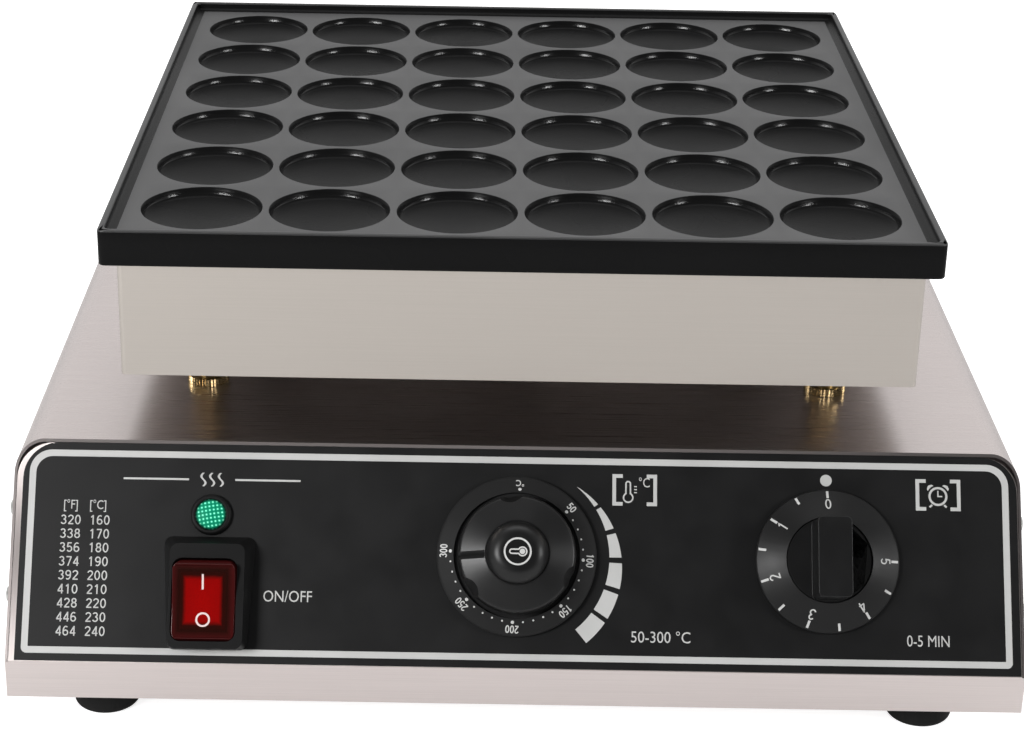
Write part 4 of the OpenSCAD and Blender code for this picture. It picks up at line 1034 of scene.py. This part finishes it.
SOFT_CONTROLS = [
    ("switch_frame", "switch_bezel", 1.3, 4, 25, SWITCH_BLACK, "base", "black_plastic"),
    ("switch_rocker", "rocker_cap", 1.6, 5, 35, RED, "rocker", "red_lens"),
    ("temperature_dial", "dial_moulding", 0.3, 2, 30, DIAL_MATT, "temperature_knob", "knob_plastic"),
    ("timer_skirt", "skirt_moulding", 0.3, 2, 30, KNOB_SATIN, "timer_knob", "knob_plastic"),
    ("timer_grip", "bar_moulding", 0.6, 3, 30, DRUM_BLACK, "timer_knob", "knob_plastic"),
    ("lamp_bezel", "bezel_ring", 0.3, 2, 30, SWITCH_BLACK, "base", "black_plastic"),
]
for node, name, width, segments, angle, material, body, slot in SOFT_CONTROLS:
    dress(soft_copy(node, width, segments, angle), name, material, body, slot, node)


# Print on the film

BORDER_LEFT = -179.3
BORDER_RIGHT = 180.4
BORDER_IN = 2.7
BORDER_W = 2.4
BORDER_TOP_R = 8.0
BORDER_LOW_R = 2.0
BORDER_INNER_TOP_R = 6.0
BORDER_INNER_LOW_R = 0.3
ARC_SPANS = [(40.2, 56.5), (58.8, 72.9), (75.8, 89.6), (92.8, 106.6), (109.6, 123.5), (126.0, 140.3)]
ARC_R = 34.0
ARC_GROWTH = 6.2
ARC_THIN = 0.05
ARC_START = 40
ARC_TURN = 100
POINTER_DROP = 9.9
POINTER_R = 2.15
SIGN_LOW = PRINT_TOP - 20.4
SIGN_HIGH = PRINT_TOP - 8.8
BRACKET_SPANS = [(34.9, 51.3), (146.3, 162.8)]
BRACKET_W = 1.35
BRACKET_LIP = 3.8
THERMOMETER_X = 40.7
THERMOMETER_UP = 1.0
THERMOMETER_H = 8.2
THERMOMETER_W = 2.2
THERMOMETER_LINE = 0.55
THERMOMETER_MARKS = (42.9, 43.9)
MARKS_UP = 4.9
MARKS_PITCH = 1.1
MARKS_LINE = 0.4
CLOCK_X = 154.5
CLOCK_UP = 5.3
CLOCK_R = 3.5
CLOCK_LINE = 0.8
TABLE_ROWS = 9
TABLE_UP = PRINT_TOP - 28.8
TABLE_HEAD = PRINT_TOP - 23.4
ROW_PITCH = 5.06
TABLE_FIGURE_H = 3.5
TABLE_SQUEEZE = 0.95
# Place across the panel, first number and step of each column
TABLE_COLUMNS = [(-163.4, 320, 18), (-152.8, 160, 10)]
HEAT_X = -112.2
HEAT_UP = PRINT_TOP - 13.3
HEAT_PITCH = 3.2
HEAT_H = 5.0
HEAT_W = 0.8
HEAT_LINE_START = 8.5
HEAT_LINE_L = 24
HEAT_LINE_W = 0.7
# Captions: text, cap height, place across and up the panel, and how far the letters are squeezed
CAPTIONS = [
    ("°C", 3.6, 46.6, SIGN_HIGH - 3.2, 0.8),
    ("[°F]", 3.4, -163.6, TABLE_HEAD, 0.78),
    ("[°C]", 3.4, -153.6, TABLE_HEAD, 0.78),
    ("ON/OFF", 4.2, -83.2, PRINT_TOP - 55.8, 0.85),
    ("50-300 °C", 4.2, 52.7, PRINT_TOP - 68.4, 0.9),
    ("0-5 MIN", 4.2, 150.0, PRINT_TOP - 68.2, 0.8),
]


def border_print():
    y0 = FILM_LOW + BORDER_IN
    y1 = FILM_TOP - BORDER_IN
    outer = rounded(BORDER_LEFT, y0, BORDER_RIGHT, y1, BORDER_TOP_R, BORDER_LOW_R)
    inner = rounded(BORDER_LEFT + BORDER_W, y0 + BORDER_W, BORDER_RIGHT - BORDER_W, y1 - BORDER_W,
                    BORDER_INNER_TOP_R, BORDER_INNER_LOW_R)
    return ink([outer, inner], on_panel(0, 0, FILM_T))


def arc_band(start, stop):
    """One block of the growing scale beside the temperature knob."""
    inside = []
    outside = []
    for k in range(9):
        turn = start + (stop - start) * k / 8
        grow = ARC_R + ARC_GROWTH * sin(radians((turn - ARC_START) / ARC_TURN * 90))
        inside.append(clock_point(ARC_R - ARC_THIN, turn))
        outside.append(clock_point(grow, turn))
    return inside + outside[::-1]


def bracket(x0, x1):
    """A pair of square brackets round a sign."""
    lip = x0 + BRACKET_LIP
    back = x0 + BRACKET_W
    low = SIGN_LOW + BRACKET_W
    high = SIGN_HIGH - BRACKET_W
    left = [(x0, SIGN_LOW), (lip, SIGN_LOW), (lip, low), (back, low),
            (back, high), (lip, high), (lip, SIGN_HIGH), (x0, SIGN_HIGH)]
    return [left, [(x0 + x1 - x, y) for x, y in left]]


def thermometer(x, y, h, w, line):
    """An upright thermometer outline with its bulb at the foot."""
    bulb = w * 0.9
    outer = []
    inner = []
    for points, r, big in ((outer, w / 2, bulb), (inner, w / 2 - line, bulb - line)):
        for k in range(9):
            a = pi * k / 8
            points.append((x + r * cos(a), y + h - w / 2 + r * sin(a)))
        begin = pi / 2 + asin(r / big)
        for k in range(21):
            a = begin + (2 * pi - 2 * asin(r / big)) * k / 20
            points.append((x + big * cos(a), y + bulb + big * sin(a)))
    return [outer, inner]


def clock_sign(x, y, r, line):
    """A round clock with two bells, two feet and its hands."""
    half = line * 0.6 / 2
    up = y + r * 0.6
    aside = x + r * 0.45
    shapes = [disc(x, y, r), disc(x, y, r - line)]
    shapes.append([(x - half, up), (x - half, y - half), (aside, y - half),
                   (aside, y + half), (x + half, y + half), (x + half, up)])
    for side in (-1, 1):
        bell = [clock_point(r * 1.2, side * turn) for turn in (22, 30, 38, 46, 54, 62)]
        bell += [clock_point(r * far, side * turn) for far, turn in ((1.4, 56), (1.52, 42), (1.4, 28))]
        shapes.append([(x + px, y + py) for px, py in bell])
        near = clock_point(r * 1.1, side * 145)
        far = clock_point(r * 1.45, side * 142)
        shapes.append(stroke(x + near[0], y + near[1], x + far[0], y + far[1], line * 0.9))
    return shapes


def heat_sign(x, y, h, w):
    """A rising wave of heat."""
    left = []
    right = []
    for k in range(13):
        t = k / 12
        sway = 0.16 * h * sin(2 * pi * t)
        left.append((x + sway - w / 2, y + h * (t - 0.5)))
        right.append((x + sway + w / 2, y + h * (t - 0.5)))
    return left + right[::-1]


def panel_print():
    face = on_panel(0, 0, FILM_T)
    pieces = [border_print()]
    pieces.append(ink([arc_band(start, stop) for start, stop in ARC_SPANS], face))
    pieces.append(ink([disc(TIMER_X, PRINT_TOP - POINTER_DROP, POINTER_R)], face))
    for x0, x1 in BRACKET_SPANS:
        pieces.append(ink(bracket(x0, x1), face))
    foot = SIGN_LOW + THERMOMETER_UP
    outline = thermometer(THERMOMETER_X, foot, THERMOMETER_H, THERMOMETER_W, THERMOMETER_LINE)
    pieces.append(ink(outline, face))
    for k in range(3):
        up = SIGN_LOW + MARKS_UP + k * MARKS_PITCH
        pieces.append(ink([stroke(THERMOMETER_MARKS[0], up, THERMOMETER_MARKS[1], up, MARKS_LINE)], face))
    pieces.append(ink(clock_sign(CLOCK_X, SIGN_LOW + CLOCK_UP, CLOCK_R, CLOCK_LINE), face))
    for k in range(TABLE_ROWS):
        up = TABLE_UP - ROW_PITCH * k
        for x, first, step in TABLE_COLUMNS:
            number = str(first + step * k)
            pieces += numerals(number, TABLE_FIGURE_H, on_panel(x, up, FILM_T), TABLE_SQUEEZE)
    for k in (-1, 0, 1):
        pieces.append(ink([heat_sign(HEAT_X + k * HEAT_PITCH, HEAT_UP, HEAT_H, HEAT_W)], face))
    for side in (-1, 1):
        x = HEAT_X + side * HEAT_LINE_START
        pieces.append(ink([stroke(x, HEAT_UP, x + side * HEAT_LINE_L, HEAT_UP, HEAT_LINE_W)], face))
    for text, height, x, up, squeeze in CAPTIONS:
        pieces.append(figures(text, height, on_panel(x, up, FILM_T), squeeze))
    dress(join(pieces, "panel_print"), "panel_print", INK, "base", "panel_film")


panel_print()


# Print on the temperature dial and the cap

DIAL_TOP_IN = (22.9, 4.8)
DIAL_TOP_OUT = (28.2, 2.8)
DIAL_DOTS_R = 24.2
DIAL_FIGURES_R = 26.7
DIAL_FIGURE_H = 2.9
DIAL_SQUEEZE = 0.75
DIAL_LINE = 0.42
DIAL_FIRST = 48
DIAL_STEP = 45
DIAL_NUMBERS = 6
DIAL_OFF = 2
DOT_R = 0.62
SMALL_DOT_R = 0.36
SMALL_DOTS = 4
UNIT_H = 2.5
UNIT_SQUEEZE = 0.85
UNIT_WEIGHT = 0.04
CAP_TOP = 20.9
CAP_SIGN_R = 5.0
CAP_SIGN_LINE = 0.65
CAP_THERMOMETER = thermometer(0, -3.5, 6.6, 2.0, 0.5)
CAP_BULB = disc(0, -1.7, 1.0, 24)


def on_dial(r, turn):
    return on_ring(0, DIAL_TOP_IN, DIAL_TOP_OUT, r, turn)


def dial_print():
    pieces = []
    for k in range(DIAL_NUMBERS):
        turn = DIAL_FIRST + DIAL_STEP * k
        pieces.append(ink([disc(0, 0, DOT_R, 16)], on_dial(DIAL_DOTS_R, turn)))
        spot = on_dial(DIAL_FIGURES_R, turn)
        pieces += numerals(str(50 + 50 * k), DIAL_FIGURE_H, spot, DIAL_SQUEEZE, DIAL_LINE)
        if k < DIAL_NUMBERS - 1:
            for step in range(1, SMALL_DOTS + 1):
                between = turn + DIAL_STEP / (SMALL_DOTS + 1) * step
                pieces.append(ink([disc(0, 0, SMALL_DOT_R, 12)], on_dial(DIAL_DOTS_R, between)))
    pieces.append(ink([disc(0, 0, DOT_R, 16)], on_dial(DIAL_DOTS_R, DIAL_OFF)))
    unit = on_dial(DIAL_FIGURES_R, DIAL_OFF) @ spin(pi, "Z")
    pieces.append(figures("°C", UNIT_H, unit, UNIT_SQUEEZE, UNIT_WEIGHT))
    dress(join(pieces, "dial_print"), "dial_print", WHITE_INK, "temperature_knob", "knob_plastic")
    top = on_panel(0, 0, CAP_TOP, -90)
    shapes = [ink([disc(0, 0, CAP_SIGN_R, 48), disc(0, 0, CAP_SIGN_R - CAP_SIGN_LINE, 48)], top),
              ink(CAP_THERMOMETER, top),
              ink([CAP_BULB], top)]
    dress(join(shapes, "cap_sign"), "cap_sign", WHITE_INK, "temperature_knob", "knob_plastic")


dial_print()


# Print on the timer's cone

CONE_OUT = (25.7, 2.4)
CONE_IN = (15.6, 7.6)
TIMER_MARKS_R = 24.4
TIMER_FIGURES_R = 20.6
TIMER_MARKS = 11
TIMER_STEP = 27
TIMER_MARK = rect(-0.45, -1.7, 0.45, 1.3)
TIMER_FIGURE_H = 4.3
TIMER_SQUEEZE = 0.8
TIMER_LINE = 0.5


def on_cone(r, turn):
    return on_ring(TIMER_X, CONE_IN, CONE_OUT, r, turn)


def timer_print():
    pieces = []
    for k in range(TIMER_MARKS):
        turn = -TIMER_STEP * k
        pieces.append(ink([TIMER_MARK], on_cone(TIMER_MARKS_R, turn)))
        if k % 2 == 0:
            spot = on_cone(TIMER_FIGURES_R, turn)
            pieces += numerals(str(k // 2), TIMER_FIGURE_H, spot, TIMER_SQUEEZE, TIMER_LINE)
    dress(join(pieces, "timer_print"), "timer_print", WHITE_INK, "timer_knob", "knob_plastic")


timer_print()


# Signs on the rocker

ROCKER_TILT = radians(8)
PIVOT_OUT = 4.4
ROCKER_TOP = 5.6
ROCKER_DISH = 1.2
ROCKER_DISH_R = 70.0
SIGN_T = 0.12
ON_BAR = rect(-0.36, -2.8, 0.36, 2.8)
ON_UP = 7.0
ON_LEFT = 0.25
OFF_RING = [disc(0, 0, 2.65, 40), disc(0, 0, 1.95, 40)]
OFF_UP = -6.6


def on_rocker(up, left):
    """A place on the rocker's dished face, up from its middle and to the left of it."""
    lean = asin(up / ROCKER_DISH_R)
    height = ROCKER_TOP - ROCKER_DISH + ROCKER_DISH_R * (1 - cos(lean))
    pivot = on_panel(ROCKER_X, ROCKER_MID, PIVOT_OUT) @ spin(ROCKER_TILT, "X")
    return pivot @ shift(-left, up, height) @ spin(lean, "X")


def rocker_signs():
    pieces = [ink([ON_BAR], on_rocker(ON_UP, ON_LEFT), SIGN_T),
              ink(OFF_RING, on_rocker(OFF_UP, 0.0), SIGN_T)]
    dress(join(pieces, "rocker_signs"), "rocker_signs", SIGN_INK, "rocker", "red_lens")


rocker_signs()


# Floor, light and camera, in metres

FLOOR_W = 8
FLOOR_GLOW = 0.82
FLOOR_MIRROR = 0.1
FRONT_LIGHT = 0.06
BACK_LIGHT = 0.95
SWEEP_FRONT = -0.4
SWEEP_BACK = 0.3
LAMP_AIM = Vector((0, 0, 0.1))


def studio_floor():
    """A white floor that the camera and mirrored rays see brighter than it is lit."""
    deselect()
    bpy.ops.mesh.primitive_plane_add(size=FLOOR_W, location=(0, 0, 0))
    floor = bpy.context.object
    floor.name = "studio_floor"
    material, tree, shader = new_material("floor_white")
    shader.inputs["Base Color"].default_value = (0.8, 0.8, 0.8, 1)
    shader.inputs["Roughness"].default_value = 0.9
    shader.inputs["Specular IOR Level"].default_value = 0.1
    glow = tree.nodes.new("ShaderNodeEmission")
    rays = tree.nodes.new("ShaderNodeLightPath").outputs
    add = tree.nodes.new("ShaderNodeAddShader")
    mirrored = math_node(tree, "MAXIMUM", rays["Is Glossy Ray"], rays["Is Transmission Ray"])
    strength = weighted(tree, rays["Is Camera Ray"], FLOOR_GLOW, mirrored, FLOOR_MIRROR)
    tree.links.new(strength, glow.inputs["Strength"])
    tree.links.new(shader.outputs[0], add.inputs[0])
    tree.links.new(glow.outputs[0], add.inputs[1])
    tree.links.new(add.outputs[0], tree.nodes["Material Output"].inputs["Surface"])
    floor.data.materials.append(material)


def studio_world():
    """White to the camera, and otherwise dim at the front and bright at the back."""
    world = bpy.data.worlds.new("studio")
    bpy.context.scene.world = world
    world.use_nodes = True
    tree = world.node_tree
    back = tree.nodes["Background"]
    back.inputs["Color"].default_value = (1, 1, 1, 1)
    split = tree.nodes.new("ShaderNodeSeparateXYZ")
    tree.links.new(tree.nodes.new("ShaderNodeTexCoord").outputs["Generated"], split.inputs[0])
    sweep = tree.nodes.new("ShaderNodeMapRange")
    sweep.inputs["From Min"].default_value = SWEEP_FRONT
    sweep.inputs["From Max"].default_value = SWEEP_BACK
    sweep.inputs["To Min"].default_value = FRONT_LIGHT
    sweep.inputs["To Max"].default_value = BACK_LIGHT
    tree.links.new(split.outputs[1], sweep.inputs["Value"])
    rays = tree.nodes.new("ShaderNodeLightPath").outputs
    strength = math_node(tree, "MAXIMUM", sweep.outputs["Result"], rays["Is Camera Ray"])
    tree.links.new(strength, back.inputs["Strength"])


def softbox(name, location, size, power):
    data = bpy.data.lights.new(name, "AREA")
    data.shape = "RECTANGLE"
    data.size = size[0]
    data.size_y = size[1]
    data.energy = power
    lamp = put_in_scene(name, data)
    lamp.location = location
    lamp.rotation_euler = (LAMP_AIM - Vector(location)).to_track_quat("-Z", "Y").to_euler()


studio_floor()
studio_world()
softbox("left_softbox", (-0.92, -1.055, 0.69), (0.42, 0.32), 14)
softbox("right_softbox", (1.235, -0.713, 0.56), (0.3, 0.3), 6.5)
softbox("top_softbox", (0, 0.3, 1.5), (1.2, 0.8), 6)

camera_data = bpy.data.cameras.new("photo_camera")
camera_data.lens = 83.79
camera_data.sensor_width = 36
camera_data.shift_x = 0.03774
camera_data.shift_y = -0.04222
camera_data.clip_start = 0.05
camera = put_in_scene("photo_camera", camera_data)
camera.location = (-0.017106, -0.934807, 0.485086)
camera.rotation_euler = (radians(66.9247), radians(-0.8694), radians(0.3765))
bpy.context.scene.camera = camera
bpy.context.scene.view_settings.view_transform = "Standard"
